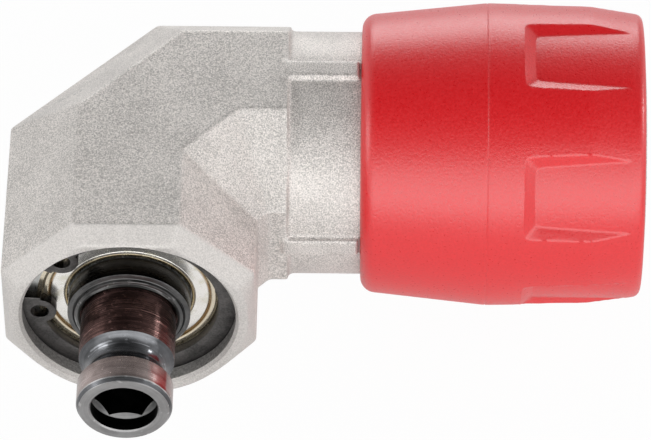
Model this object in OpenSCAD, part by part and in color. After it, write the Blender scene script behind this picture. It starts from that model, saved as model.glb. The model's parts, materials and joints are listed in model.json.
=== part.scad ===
// Right-angle drill attachment: a bevel-gear elbow with a ball-bearing spindle
// and a twist-to-lock sleeve. Millimetres, Z up, the input axis along X and the
// spindle pointing towards -Y. The origin is the centre of the socket's mouth.
// Lengths called reach or start are measured from the crossing of the two axes.

/* [Housing] */
// Distance across the flats of the octagonal legs
flats_w = 28.4; // [28:0.1:32]
// Crossing to the octagonal edge of the output face
face_reach = 23.2; // [22.5:0.1:27]
// How far the sloped rim stands out of the output face
rim_rise = 1.9; // [1.2:0.1:2.6]
// Width of the flat land between the sloped rim and the bore
rim_land = 0.2; // [0.1:0.05:0.6]
// Crossing to the end of the octagonal arm
arm_reach = 17.6; // [16:0.1:20]
// Crossing to the outer elbow bevel, measured on the front flat
elbow_outer = 0.35; // [0:0.05:2]
// Crossing to the inner elbow bevel, measured on the front flat
elbow_inner = 12.7; // [12:0.1:14]

/* [Neck] */
// Diameter of the round neck
neck_d = 27.8; // [27.4:0.1:28.2]
// Width of the four ribs along the neck
rib_w = 2.4; // [1.5:0.1:4]
// Height of the ribs over the neck
rib_h = 0.65; // [0.3:0.05:0.9]
// Length of the cone from the arm to the neck
throat_len = 1.1; // [0.5:0.1:2]
// Height of that cone over the neck
throat_h = 0.25; // [0.1:0.05:0.4]
// Wall between the neck's tail and the socket for the neck of the drill
tail_wall = 2.4; // [2:0.1:2.8]
// Depth of that socket
socket_depth = 16; // [14:0.5:18]

/* [Sleeve] */
// Crossing to the front end of the sleeve
sleeve_start = 25.8; // [25.4:0.1:27]
// Length of the sleeve
sleeve_len = 32.3; // [31:0.1:36]
// Largest diameter
belly_d = 34.7; // [33.8:0.1:36]
// How far the radius falls from there to the rounded front end
front_drop = 1.45; // [0.8:0.05:1.6]
// How far the radius falls from there to the start of the rear taper
shoulder_drop = 0.25; // [0.1:0.05:0.5]
// How far the radius falls from there to the rear end
rear_drop = 1.2; // [0.8:0.05:1.5]
// Wall between a grip recess and the rings inside
sleeve_wall = 1.28; // [1:0.02:1.6]
// Front end to the largest diameter
belly_at = 14.3; // [10:0.1:17]
// Front end to the rear taper
shoulder_at = 26.1; // [24:0.1:28]
// Rounding of the front end
front_round = 1.6; // [0.6:0.1:1.7]
// Rounding of the rear end
rear_round = 0.4; // [0.2:0.1:0.6]
// Length of the bore that turns on the neck
land_len = 7.2; // [6.6:0.1:8]
// Thickness of the inner flange that locates the sleeve
flange_w = 2; // [1.5:0.1:3]
// Number of grip recesses
grip_count = 6; // [4:1:8]
// Depth of a grip recess
grip_depth = 0.87; // [0.4:0.01:1]
// Front end to the grip recesses
grip_at = 18.4; // [16:0.1:22]
// Length of the ramp at the front of a recess
grip_ramp = 1.3; // [0.6:0.1:2.5]
// Width of a recess at the surface, in degrees
grip_deg = 37.5; // [30:0.5:42]
// Width of a recess at its floor, in degrees
grip_floor_deg = 24.5; // [18:0.5:28]

/* [Spindle] */
// Diameter of the spindle nose
nose_d = 10.7; // [10.2:0.1:11.4]
// Crossing to the front end of the nose
nose_reach = 38.2; // [37:0.1:44]
// Chamfer of the nose
nose_chamfer = 0.5; // [0.2:0.1:0.8]
// Front end to the ball groove
groove_at = 3.4; // [2.5:0.1:5]
// Width of the ball groove
groove_w = 3.6; // [3:0.1:4]
// Depth of the ball groove
groove_depth = 1.15; // [0.5:0.05:1.2]
// Diameter of the collar in front of the bearing
collar_d = 13.5; // [12.8:0.1:14.4]
// Length of the collar
collar_len = 2.35; // [1.5:0.05:3.5]
// Diameter of the collar's lip
lip_d = 11.9; // [11.6:0.1:12.6]
// Length of the collar's lip
lip_len = 0.7; // [0.3:0.05:1.2]
// How far the collar's seat stands over the nose
collar_step = 0.3; // [0.2:0.05:0.4]
// Width across the flats of the hex socket
hex_af = 6.35; // [6:0.05:6.6]
// Depth of the hex socket
hex_depth = 13; // [11.5:0.5:14]
// Diameter of the round entry of the hex socket
entry_d = 7.5; // [7.4:0.05:8.2]
// Depth of the round entry
entry_depth = 1.2; // [0.6:0.1:2]
// Length of the magnet at the bottom of the hex socket
magnet_len = 3; // [2:0.5:4]
// Wire diameter of the ring that holds a bit
bit_wire_d = 0.8; // [0.6:0.05:0.9]
// Diameter of the rear journal
journal_d = 5; // [4:0.1:5.6]
// Outer diameter of the rear bush
bush_d = 8; // [7.4:0.1:8.6]
// Length of the rear bush
bush_len = 5; // [3:0.1:5.5]
// Crossing to the front end of the rear bush
bush_at = 1.2; // [0.8:0.1:1.6]

/* [Bearings] */
// Bore of the spindle bearing
spb_bore = 12; // [11.6:0.1:12.4]
// Outer diameter of the spindle bearing
spb_od = 24; // [23.6:0.1:24.6]
// Width of the spindle bearing
spb_w = 6; // [5:0.1:6.5]
// Ball diameter of the spindle bearing
spb_ball = 3.2; // [2.6:0.1:3.4]
// Number of balls in the spindle bearing
spb_balls = 10; // [7:1:12]
// Bore of the two shaft bearings
shb_bore = 8; // [7.6:0.1:8.4]
// Outer diameter of the shaft bearings
shb_od = 19; // [18.4:0.1:19.4]
// Width of a shaft bearing
shb_w = 6; // [5:0.1:6.4]
// Ball diameter of the shaft bearings
shb_ball = 2.8; // [2.4:0.1:3]
// Number of balls in a shaft bearing
shb_balls = 8; // [6:1:9]
// Distance between the two shaft bearings
spacer_len = 4; // [3:0.1:4.6]

/* [Gears] */
// Module of the bevel gears at their large end
gear_module = 1; // [0.9:0.01:1.04]
// Teeth on the pinion
pinion_teeth = 14; // [13:1:15]
// Teeth on the spindle's gear
gear_teeth = 18; // [17:1:19]
// Length of the teeth along the pitch cone
tooth_w = 3.6; // [2.5:0.1:4.2]
// Play between the teeth at the pitch circle
backlash = 0.14; // [0.08:0.01:0.25]
// Length of the pinion's hub behind its teeth
pinion_hub = 5; // [4:0.1:5.6]
// Diameter of the shaft inside the pinion
pinion_bore = 6; // [5:0.1:6.4]
// Diameter of the pin across the pinion's hub
cross_pin_d = 2; // [1.5:0.1:2.4]
// Large end of the teeth to that pin
cross_pin_at = 3; // [2:0.1:3.6]
// Diameter of the spindle inside the gear
gear_bore = 8; // [7.4:0.1:8.6]
// Width of the key under the gear
key_w = 2.5; // [2:0.1:3]
// Thickness of the gear's retaining ring
gear_ring_t = 0.8; // [0.6:0.1:1]
// How far that ring stands over the spindle
gear_ring_rise = 1.1; // [0.8:0.1:1.4]
// Depth of that ring's groove
gear_ring_groove = 0.3; // [0.2:0.05:0.4]

/* [Lock] */
// Twist of the sleeve from free to locked, in degrees
twist = 40; // [30:1:44]
// Diameter of a lock pin
pin_d = 3; // [2.4:0.1:3.4]
// Travel of a lock pin
pin_travel = 1.2; // [0.8:0.1:1.4]
// Mouth of the socket to the lock pins
pin_from_mouth = 10.5; // [9.5:0.1:11]
// Width of the cam ring
cam_w = 7; // [6:0.1:8]
// Wall of the cam ring and of the end ring
cam_wall = 2.8; // [2.6:0.1:3]
// Length of the end ring
end_ring_len = 6; // [4:0.1:6.2]
// Diameter of the keys between sleeve and cam ring
cam_key_d = 1.2; // [1:0.1:1.4]

/* [Rings and clearances] */
// Thickness of the circlips
clip_t = 1.2; // [0.8:0.1:1.4]
// Depth of the circlip grooves
clip_groove = 0.6; // [0.4:0.05:0.7]
// Width of a circlip's band
clip_band = 2; // [1.4:0.1:2.2]
// Diameter of the lugs of the spindle's circlip
lug_d = 3.8; // [3.2:0.1:4.2]
// Diameter of the holes in those lugs
lug_hole_d = 2; // [1.2:0.1:2.2]
// Diameter of the lugs of the neck's circlip
neck_lug_d = 3.2; // [2.8:0.1:3.6]
// Diameter of the holes in those lugs
neck_lug_hole_d = 1.2; // [1:0.1:1.6]
// Thickness of the drive shaft's circlip
shaft_clip_t = 0.8; // [0.6:0.1:1]
// How far that circlip stands over the shaft
shaft_clip_rise = 1.2; // [0.8:0.1:1.3]
// Depth of that circlip's groove
shaft_clip_groove = 0.4; // [0.2:0.05:0.5]
// How far the sleeve's retaining ring stands over the tail
snap_rise = 1.5; // [1.2:0.1:1.8]
// Section diameter of the friction ring
friction_d = 1.2; // [1:0.1:1.4]
// Radial gap of running fits
run_gap = 0.05; // [0.03:0.01:0.1]
// Radial gap of seats that do not turn
seat_gap = 0.01; // [0.005:0.005:0.03]
// Gap between a ball and its races
ball_gap = 0.02; // [0.01:0.01:0.05]
// Axial gap beside turning pieces
side_gap = 0.15; // [0.1:0.05:0.3]

/* [Hidden] */
$fn = 96;
far = 60;

// Colours of the finishes
cast_alloy = "#bdb9b3";
red_plastic = "#c8242c";
burnished = "#3a2f2d";
phosphated = "#4a4846";
bright_steel = "#c9c9c6";
gold_shield = "#d8cfae";
bronze = "#b08d57";
dark_rubber = "#222222";

// Octagonal elbow
flat_r = flats_w / 2;
half_side = flat_r * tan(22.5);
rim_reach = face_reach + rim_rise;
neck_root = 1;

// Bevel gears, with the apex of both pitch cones at the crossing
pinion_r = gear_module * pinion_teeth / 2;
gear_r = gear_module * gear_teeth / 2;
pressure_angle = 20;
addendum = 0.85 * gear_module;
dedendum = 1.05 * gear_module;
flank_steps = 4;
cone_dist = sqrt(pinion_r * pinion_r + gear_r * gear_r);
small_end = 1 - tooth_w / cone_dist;
pinion_cone = atan(pinion_r / gear_r);
gear_cone = 90 - pinion_cone;
pinion_tip_r = gear_r * tan(pinion_cone + atan(addendum / cone_dist));
gear_tip_r = pinion_r * tan(gear_cone + atan(addendum / cone_dist));
gear_root_r = pinion_r * tan(gear_cone - atan(dedendum / cone_dist));
pinion_root_r = gear_r * tan(pinion_cone - atan(dedendum / cone_dist));
chamber_gap = 0.6;
hub_step = 0.3;

// Spindle, with distances measured from the crossing towards the nose
nose_r = nose_d / 2;
face_margin = 0.05;
spb_front = face_reach - clip_t - side_gap - face_margin;
spb_back = spb_front - spb_w;
spb_pitch_r = (spb_bore + spb_od) / 4;
seat_r = spb_bore / 2;
clip_front = spb_front + clip_t;
gear_small = pinion_r * small_end;
gear_seat_end = gear_small - gear_ring_t - gear_ring_groove;
chamber_end = gear_seat_end - 2 * side_gap;
bush_end = -bush_at - bush_len;
collar_seat_r = nose_r + collar_step;
lip_end = spb_front + collar_len + lip_len;
groove_mid = nose_reach - groove_at - groove_w / 2;
hex_r = hex_af / 2 / cos(30);
hex_floor = nose_reach - hex_depth;
bit_ring_lead = 1.5;
bit_ring_gap = 0.08;
bit_ring_at = hex_floor + magnet_len + bit_ring_lead;
bit_ring_r = hex_af / 2 + bit_wire_d / 2 + bit_ring_gap;
magnet_gap = 0.1;
lead_len = hex_r - hex_af / 2 + 0.6;
lead_r = hex_af / 2 - 0.2;

// Drive shaft, with distances measured from the crossing towards the drill
mouth_x = sleeve_start + sleeve_len;
shb_pitch_r = (shb_bore + shb_od) / 4;
shb_front_x = gear_r + pinion_hub;
shb_rear_x = shb_front_x + shb_w + spacer_len;
clip_x = shb_rear_x + shb_w;
shoulder_lead = 0.6;
shoulder_end_x = clip_x + clip_t + shoulder_lead;
socket_end_x = mouth_x - socket_depth;
shank_tip_x = socket_end_x - 2 * side_gap;
shank_chamfer = 0.5;
shank_gap = 0.1;
cross_pin_x = gear_r + cross_pin_at;
spacer_relief = 0.3;

// Sleeve and lock
neck_r = neck_d / 2;
belly_r = belly_d / 2;
front_r = belly_r - front_drop;
shoulder_r = belly_r - shoulder_drop;
rear_r = belly_r - rear_drop;
grip_floor_r = belly_r - grip_depth;
cam_r = grip_floor_r - sleeve_wall;
tail_r = cam_r - cam_wall;
socket_r = tail_r - tail_wall;
step_x = sleeve_start + land_len;
flange_x = step_x + side_gap;
snap_x = flange_x + flange_w + side_gap;
snap_r = tail_r + snap_rise;
snap_room = 0.5;
pin_x = mouth_x - pin_from_mouth;
pin_r = pin_d / 2;
cam_x = pin_x - cam_w / 2;
end_ring_x = cam_x + cam_w;
pin_tip_gap = 0.1;
pin_stand = 0.6;
pin_tip_r = socket_r + pin_tip_gap;
pin_end_r = tail_r + pin_travel + pin_stand;
cam_gap = 0.1;
cam_margin = 10;
cam_slope = pin_travel / twist;
pin_count = 3;
pin_pitch = 360 / pin_count;
friction_x = sleeve_start + land_len / 2;
friction_squeeze = 0.02;
friction_r = neck_r + run_gap - friction_squeeze - friction_d / 2;

// Frames

// Moves a shape from the crossing of the axes to the part's own origin
module seated() {
  translate([-mouth_x, 0, 0]) children();
}

// Turns a shape's z axis to the drill's direction
module along_shaft(x = 0) {
  seated() translate([x, 0, 0]) rotate([0, 90, 0]) children();
}

// Turns a shape's z axis to the direction of the spindle's nose
module along_spindle(s = 0) {
  seated() translate([0, -s, 0]) rotate([90, 0, 0]) children();
}

// Shared shapes

// Straight tube
module tube(r_out, r_in, h) {
  linear_extrude(h) difference() {
    circle(r_out);
    circle(r_in);
  }
}

// Race of a ball bearing between two radii, with its ball groove
module race(r_in, r_out, w, pitch_r, ball) {
  rotate_extrude() difference() {
    translate([r_in, 0]) square([r_out - r_in, w]);
    translate([pitch_r, w / 2]) circle(ball / 2 + ball_gap, $fn = 48);
  }
}

// Radius of the inner race's shoulder
function inner_land(pitch_r, ball) = pitch_r - ball * 0.34;

// Radius of the outer race's shoulder
function outer_land(pitch_r, ball) = pitch_r + ball * 0.34;

// Ring of balls
module ball_set(pitch_r, ball, count, w) {
  for (i = [0:count - 1])
    rotate([0, 0, (i + 0.5) * 360 / count]) translate([pitch_r, 0, w / 2]) sphere(ball / 2, $fn = 48);
}

// Cage with a round window around each ball
module cage(pitch_r, ball, count, w) {
  cage_t = ball * 0.28;
  cage_w = ball * 1.3;
  window_gap = 0.08;
  difference() {
    translate([0, 0, (w - cage_w) / 2]) tube(pitch_r + cage_t / 2, pitch_r - cage_t / 2, cage_w);
    for (i = [0:count - 1])
      rotate([0, 0, (i + 0.5) * 360 / count]) translate([0, 0, w / 2]) rotate([0, 90, 0])
        cylinder(h = 2 * pitch_r, r = ball / 2 + window_gap, $fn = 48);
  }
}

// Sector of a circle, centred on an angle
module sector(r, mid, width) {
  steps = 6;
  polygon([[0, 0], for (i = [0:steps]) let (a = mid + width * (i / steps - 0.5)) r * [cos(a), sin(a)]]);
}

// Internal circlip with two lugs beside its gap
module internal_clip(r_out, r_in, lug_r, hole_r, mid, spread, gap) {
  lug_at = r_in + lug_r * 0.14;
  linear_extrude(clip_t) difference() {
    intersection() {
      circle(r_out);
      union() {
        difference() {
          circle(r_out);
          circle(r_in);
        }
        for (side = [-1, 1]) rotate(mid + side * spread) translate([lug_at, 0]) circle(lug_r, $fn = 32);
      }
    }
    sector(2 * r_out, mid, gap);
    for (side = [-1, 1]) rotate(mid + side * spread) translate([lug_at, 0]) circle(hole_r, $fn = 32);
  }
}

// External snap ring with a gap
module external_clip(r_out, r_in, t, mid, gap) {
  linear_extrude(t) difference() {
    circle(r_out);
    circle(r_in);
    sector(2 * r_out, mid, gap);
  }
}

// Involute of an angle, in degrees
function inv(a) = tan(a) * 180 / PI - a;

// Half angle of a tooth at a radius of the virtual spur gear
function half_tooth(rv, pitch_rv) =
  let (base = pitch_rv * cos(pressure_angle))
  let (a = rv > base ? acos(base / rv) : 0)
  (PI * gear_module / 2 - backlash) / 2 / pitch_rv * 180 / PI + inv(pressure_angle) - inv(a);

// Outline of a bevel gear at its large end; turn shifts it by a part of a tooth
function bevel_outline(teeth, cone, turn) =
  let (pitch = gear_module * teeth / 2)
  let (pitch_rv = pitch / cos(cone))
  let (reach = pitch / tan(cone))
  let (depths = [for (i = [0:flank_steps]) -dedendum + (addendum + dedendum) * i / flank_steps])
  [for (k = [0:teeth - 1], side = [-1, 1], i = [0:flank_steps])
    let (depth = depths[side < 0 ? i : flank_steps - i])
    let (r = reach * tan(cone + atan(depth / cone_dist)))
    let (a = (k + turn) * 360 / teeth + side * half_tooth(pitch_rv + depth, pitch_rv) / cos(cone))
    r * [cos(a), sin(a)]];

// Toothed cone that narrows towards the crossing
module bevel_teeth(teeth, cone, reach, turn) {
  translate([0, 0, reach]) mirror([0, 0, 1])
    linear_extrude(reach * (1 - small_end), scale = small_end) polygon(bevel_outline(teeth, cone, turn));
}

// Housing

// Long prism with one bevelled side, facing a direction in the XY plane
module bevelled(direction, edge) {
  bevel = flat_r - half_side;
  rotate([0, 0, direction]) rotate([90, 0, 0]) linear_extrude(2 * far, center = true) polygon([
    [-far, -flat_r], [edge, -flat_r], [edge + bevel, -half_side],
    [edge + bevel, half_side], [edge, flat_r], [-far, flat_r]
  ]);
}

// Outer shape of the two octagonal legs and the mitred elbow between them
module elbow() {
  intersection() {
    bevelled(180, half_side);
    bevelled(90, half_side);
    bevelled(135, elbow_outer);
    union() {
      bevelled(0, half_side);
      bevelled(-90, half_side);
      bevelled(-45, elbow_inner);
    }
    translate([-far, -face_reach, -far]) cube([far + arm_reach, 2 * far, 2 * far]);
  }
}

// Sloped rim around the output bore
module face_rim() {
  top_r = spb_od / 2 + rim_land;
  rotate([90, 0, 0]) intersection_for(k = [0:3]) rotate([0, 0, 45 * k]) rotate([90, 0, 0])
    linear_extrude(2 * far, center = true) polygon([
      [-flat_r, spb_front], [flat_r, spb_front], [flat_r, face_reach],
      [top_r, rim_reach], [-top_r, rim_reach], [-flat_r, face_reach]
    ]);
}

// Round neck with its ribs and the thinner tail inside the sleeve
module neck() {
  throat_r = neck_r + throat_h;
  rib_x = arm_reach + throat_len / 2;
  rotate([0, 90, 0]) {
    rotate_extrude() polygon([
      [0, arm_reach - neck_root], [throat_r, arm_reach - neck_root], [throat_r, arm_reach],
      [neck_r, arm_reach + throat_len], [neck_r, step_x], [tail_r, step_x], [tail_r, mouth_x], [0, mouth_x]
    ]);
    translate([0, 0, rib_x]) intersection() {
      cylinder(h = sleeve_start - 2 * side_gap - rib_x, r = neck_r + rib_h);
      for (k = [0:1]) rotate([0, 0, 90 * k]) translate([-rib_w / 2, -far, 0]) cube([rib_w, 2 * far, far]);
    }
  }
}

// Bores and seats along the spindle, in the spindle's frame
module spindle_bores() {
  translate([0, 0, spb_back]) cylinder(h = far, r = spb_od / 2 + seat_gap);
  translate([0, 0, spb_front]) cylinder(h = clip_t + side_gap, r = spb_od / 2 + clip_groove + seat_gap);
  translate([0, 0, chamber_end]) cylinder(h = spb_back - chamber_end + 1, r = gear_tip_r + chamber_gap);
  translate([0, 0, bush_end]) cylinder(h = chamber_end - bush_end + 1, r = bush_d / 2 + seat_gap);
}

// Bores and seats along the drive shaft, in the shaft's frame
module shaft_bores() {
  chamber_x = gear_r * small_end - chamber_gap;
  translate([0, 0, chamber_x]) cylinder(h = shb_front_x - chamber_x + 1, r = pinion_tip_r + chamber_gap);
  translate([0, 0, shb_front_x]) cylinder(h = far, r = shb_od / 2 + seat_gap);
  translate([0, 0, clip_x]) cylinder(h = clip_t + side_gap, r = shb_od / 2 + clip_groove);
  translate([0, 0, socket_end_x]) cylinder(h = far, r = socket_r);
}

// Grooves around the neck and its tail, in the shaft's frame
module neck_grooves() {
  groove_half = friction_d / 2 + 0.05;
  translate([0, 0, friction_x - groove_half]) tube(neck_r + 1, friction_r - groove_half, 2 * groove_half);
  translate([0, 0, snap_x]) tube(tail_r + 1, tail_r - clip_groove - seat_gap, clip_t + 0.1);
}

// One shape at each lock pin, with z pointing outwards
module at_pin(k) {
  rotate([pin_pitch * k, 0, 0]) translate([pin_x, 0, 0]) children();
}

module gear_housing() {
  color(cast_alloy) seated() difference() {
    union() {
      elbow();
      face_rim();
      neck();
    }
    rotate([90, 0, 0]) spindle_bores();
    rotate([0, 90, 0]) {
      shaft_bores();
      neck_grooves();
    }
    for (k = [0:pin_count - 1]) at_pin(k) cylinder(h = far, r = pin_r + run_gap);
  }
}

module spindle_retaining_ring() {
  clip_r = spb_od / 2 + clip_groove;
  gap_mid = 162;
  lug_spread = 26;
  lug_gap = 26;
  color(phosphated) along_spindle(spb_front) internal_clip(
    clip_r, clip_r - clip_groove - clip_band, lug_d / 2, lug_hole_d / 2, gap_mid, lug_spread, lug_gap
  );
}

module spindle_rear_bush() {
  color(bronze) along_spindle(bush_end) tube(bush_d / 2, journal_d / 2 + run_gap, bush_len);
}

// Spindle bearing

shield_t = 0.45;
shield_gap = 0.1;
shield_step = 0.35;
shield_seat_r = outer_land(spb_pitch_r, spb_ball) + shield_step;

module spindle_bearing_outer_ring() {
  color(bright_steel) along_spindle(spb_back) difference() {
    race(outer_land(spb_pitch_r, spb_ball), spb_od / 2, spb_w, spb_pitch_r, spb_ball);
    translate([0, 0, spb_w - 2 * shield_t]) cylinder(h = spb_w, r = shield_seat_r);
  }
}

module spindle_bearing_shield() {
  shield_in_r = inner_land(spb_pitch_r, spb_ball) + shield_gap;
  color(gold_shield) along_spindle(spb_front - 1.5 * shield_t)
    tube(shield_seat_r - seat_gap, shield_in_r, shield_t);
}

module spindle_bearing_inner_ring() {
  color(bright_steel) along_spindle(spb_back)
    race(seat_r, inner_land(spb_pitch_r, spb_ball), spb_w, spb_pitch_r, spb_ball);
}

module spindle_bearing_balls() {
  color(bright_steel) along_spindle(spb_back) ball_set(spb_pitch_r, spb_ball, spb_balls, spb_w);
}

module spindle_bearing_cage() {
  color(bronze) along_spindle(spb_back) cage(spb_pitch_r, spb_ball, spb_balls, spb_w);
}

// Spindle

// Half section of the spindle, as radius and distance from the crossing
module spindle_section() {
  difference() {
    polygon([
      [0, bush_end + side_gap],
      [journal_d / 2, bush_end + side_gap],
      [journal_d / 2, gear_seat_end],
      [gear_bore / 2, gear_seat_end],
      [gear_bore / 2, spb_back],
      [seat_r - seat_gap, spb_back],
      [seat_r - seat_gap, spb_front],
      [collar_seat_r, spb_front],
      [collar_seat_r, lip_end],
      [nose_r, lip_end],
      [nose_r, nose_reach - nose_chamfer],
      [nose_r - nose_chamfer / 2, nose_reach],
      [0, nose_reach]
    ]);
    ball_groove();
    translate([gear_bore / 2 - gear_ring_groove, gear_small - gear_ring_t]) square([gear_bore, gear_ring_t]);
  }
}

// Round section that cuts the ball groove to its depth over its width
module ball_groove() {
  half_w = groove_w / 2;
  groove_r = (half_w * half_w + groove_depth * groove_depth) / (2 * groove_depth);
  translate([nose_r - groove_depth + groove_r, groove_mid]) circle(groove_r);
}

module output_spindle() {
  key_len = spb_back - gear_r;
  color(burnished) along_spindle() difference() {
    rotate_extrude() spindle_section();
    translate([0, 0, hex_floor]) cylinder(h = far, r = hex_r, $fn = 6);
    translate([0, 0, nose_reach - entry_depth]) cylinder(h = far, r = entry_d / 2);
    translate([0, 0, nose_reach - entry_depth - lead_len])
      cylinder(h = lead_len, r1 = lead_r, r2 = entry_d / 2);
    translate([0, 0, bit_ring_at]) bit_ring_groove();
    translate([-key_w / 2, gear_bore / 2 - key_w / 2, gear_r]) cube([key_w, key_w, key_len]);
  }
}

// Groove inside the hex socket for the ring that holds a bit
module bit_ring_groove() {
  groove_half = bit_wire_d / 2 + 0.05;
  translate([0, 0, -groove_half]) cylinder(h = 2 * groove_half, r = bit_ring_r + groove_half);
}

module spindle_collar() {
  color(burnished) along_spindle(spb_front) {
    tube(collar_d / 2, collar_seat_r + seat_gap, collar_len);
    translate([0, 0, collar_len]) tube(lip_d / 2, collar_seat_r + seat_gap, lip_len);
  }
}

module bevel_gear() {
  hub_r = gear_root_r - hub_step;
  color(bright_steel) along_spindle() difference() {
    union() {
      bevel_teeth(gear_teeth, gear_cone, pinion_r, 0.5);
      translate([0, 0, pinion_r]) cylinder(h = spb_back - pinion_r, r = hub_r);
    }
    cylinder(h = far, r = gear_bore / 2 + seat_gap);
    translate([-key_w / 2 - seat_gap, 0, gear_r - seat_gap])
      cube([key_w + 2 * seat_gap, gear_bore / 2 + key_w / 2 + seat_gap, far]);
  }
}

module gear_key() {
  color(bright_steel) along_spindle()
    translate([-key_w / 2, gear_bore / 2 - key_w / 2, gear_r]) cube([key_w, key_w, spb_back - gear_r]);
}

module gear_retaining_ring() {
  seat = gear_bore / 2;
  color(phosphated) along_spindle(gear_small - gear_ring_t)
    external_clip(seat + gear_ring_rise, seat - gear_ring_groove + seat_gap, gear_ring_t, 90, 60);
}

module bit_magnet() {
  color(bright_steel) along_spindle(hex_floor) cylinder(h = magnet_len, r = hex_af / 2 - magnet_gap);
}

module bit_spring_ring() {
  color(bright_steel) along_spindle(bit_ring_at) rotate([0, 0, 20])
    rotate_extrude(angle = 320) translate([bit_ring_r, 0]) circle(bit_wire_d / 2, $fn = 24);
}

// Drive shaft

module drive_shaft() {
  shank_r = (hex_af - shank_gap) / 2 / cos(30);
  color(bright_steel) along_shaft() difference() {
    union() {
      translate([0, 0, gear_r * small_end])
        cylinder(h = shb_front_x - gear_r * small_end, r = pinion_bore / 2);
      translate([0, 0, shb_front_x]) cylinder(h = shoulder_end_x - shb_front_x, r = shb_bore / 2 - seat_gap);
      intersection() {
        translate([0, 0, shoulder_end_x]) cylinder(h = shank_tip_x - shoulder_end_x, r = shank_r, $fn = 6);
        translate([0, 0, shoulder_end_x])
          cylinder(h = shank_tip_x - shoulder_end_x - shank_chamfer, r = shb_bore / 2);
      }
      intersection() {
        translate([0, 0, shank_tip_x - shank_chamfer]) cylinder(h = shank_chamfer, r = shank_r, $fn = 6);
        translate([0, 0, shank_tip_x - shank_chamfer])
          cylinder(h = shank_chamfer, r1 = shank_r, r2 = shank_r - shank_chamfer);
      }
    }
    translate([0, 0, clip_x]) tube(shb_bore, shb_bore / 2 - shaft_clip_groove, shaft_clip_t + seat_gap);
    translate([0, 0, cross_pin_x]) rotate([90, 0, 0])
      cylinder(h = far, r = cross_pin_d / 2 + seat_gap, center = true, $fn = 48);
  }
}

// Radius of the pinion's hub
pinion_hub_r = min(pinion_root_r - hub_step, inner_land(shb_pitch_r, shb_ball));

module bevel_pinion() {
  color(bright_steel) along_shaft() difference() {
    union() {
      bevel_teeth(pinion_teeth, pinion_cone, gear_r, 0.75 * pinion_teeth);
      translate([0, 0, gear_r]) cylinder(h = pinion_hub, r = pinion_hub_r);
    }
    cylinder(h = far, r = pinion_bore / 2 + seat_gap);
    translate([0, 0, cross_pin_x]) rotate([90, 0, 0])
      cylinder(h = far, r = cross_pin_d / 2 + seat_gap, center = true, $fn = 48);
  }
}

module pinion_pin() {
  color(phosphated) along_shaft(cross_pin_x) rotate([90, 0, 0])
    cylinder(h = 2 * pinion_hub_r, r = cross_pin_d / 2, center = true, $fn = 48);
}

module shaft_race_outer(x) {
  color(bright_steel) along_shaft(x)
    race(outer_land(shb_pitch_r, shb_ball), shb_od / 2, shb_w, shb_pitch_r, shb_ball);
}

module shaft_race_inner(x) {
  color(bright_steel) along_shaft(x)
    race(shb_bore / 2, inner_land(shb_pitch_r, shb_ball), shb_w, shb_pitch_r, shb_ball);
}

module shaft_ball_set(x) {
  color(bright_steel) along_shaft(x) ball_set(shb_pitch_r, shb_ball, shb_balls, shb_w);
}

module shaft_cage(x) {
  color(bronze) along_shaft(x) cage(shb_pitch_r, shb_ball, shb_balls, shb_w);
}

module shaft_outer_spacer() {
  color(bright_steel) along_shaft(shb_front_x + shb_w)
    tube(shb_od / 2, outer_land(shb_pitch_r, shb_ball) + spacer_relief, spacer_len);
}

module shaft_inner_spacer() {
  color(bright_steel) along_shaft(shb_front_x + shb_w)
    tube(inner_land(shb_pitch_r, shb_ball) - spacer_relief, shb_bore / 2, spacer_len);
}

module shaft_bore_circlip() {
  clip_r = shb_od / 2 + clip_groove - seat_gap;
  gap_mid = 180;
  lug_spread = 18;
  lug_gap = 18;
  color(phosphated) along_shaft(clip_x) internal_clip(
    clip_r, clip_r - clip_groove - clip_band, neck_lug_d / 2, neck_lug_hole_d / 2, gap_mid, lug_spread, lug_gap
  );
}

module shaft_circlip() {
  seat = shb_bore / 2;
  color(phosphated) along_shaft(clip_x)
    external_clip(seat + shaft_clip_rise, seat - shaft_clip_groove + seat_gap, shaft_clip_t, 90, 60);
}

// Sleeve and lock

module sleeve_retaining_ring() {
  color(phosphated) along_shaft(snap_x) external_clip(snap_r, tail_r - clip_groove, clip_t, 30, 20);
}

module sleeve_friction_ring() {
  color(dark_rubber) along_shaft(friction_x)
    rotate_extrude() translate([friction_r, 0]) circle(friction_d / 2, $fn = 32);
}

// Outer profile of the sleeve, as radius and distance from its front end
module sleeve_outline() {
  difference() {
    polygon([
      [0, 0], [front_r, 0], [front_r, front_round], [belly_r, belly_at],
      [shoulder_r, shoulder_at], [rear_r, sleeve_len], [0, sleeve_len]
    ]);
    difference() {
      translate([front_r - front_round, 0]) square(front_round);
      translate([front_r - front_round, front_round]) circle(front_round);
    }
    translate([rear_r, sleeve_len]) rotate(45) square(rear_round * sqrt(2), center = true);
  }
}

// Inner profile of the sleeve, in the same way
module sleeve_hollow() {
  cavity_at = flange_x + flange_w - sleeve_start;
  cam_at = cam_x - sleeve_start;
  polygon([
    [0, -1], [neck_r + run_gap, -1], [neck_r + run_gap, flange_x - sleeve_start],
    [tail_r + run_gap, flange_x - sleeve_start], [tail_r + run_gap, cavity_at],
    [snap_r + snap_room, cavity_at], [snap_r + snap_room, cam_at], [cam_r + seat_gap, cam_at],
    [cam_r + seat_gap, sleeve_len + 1], [0, sleeve_len + 1]
  ]);
}

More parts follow.
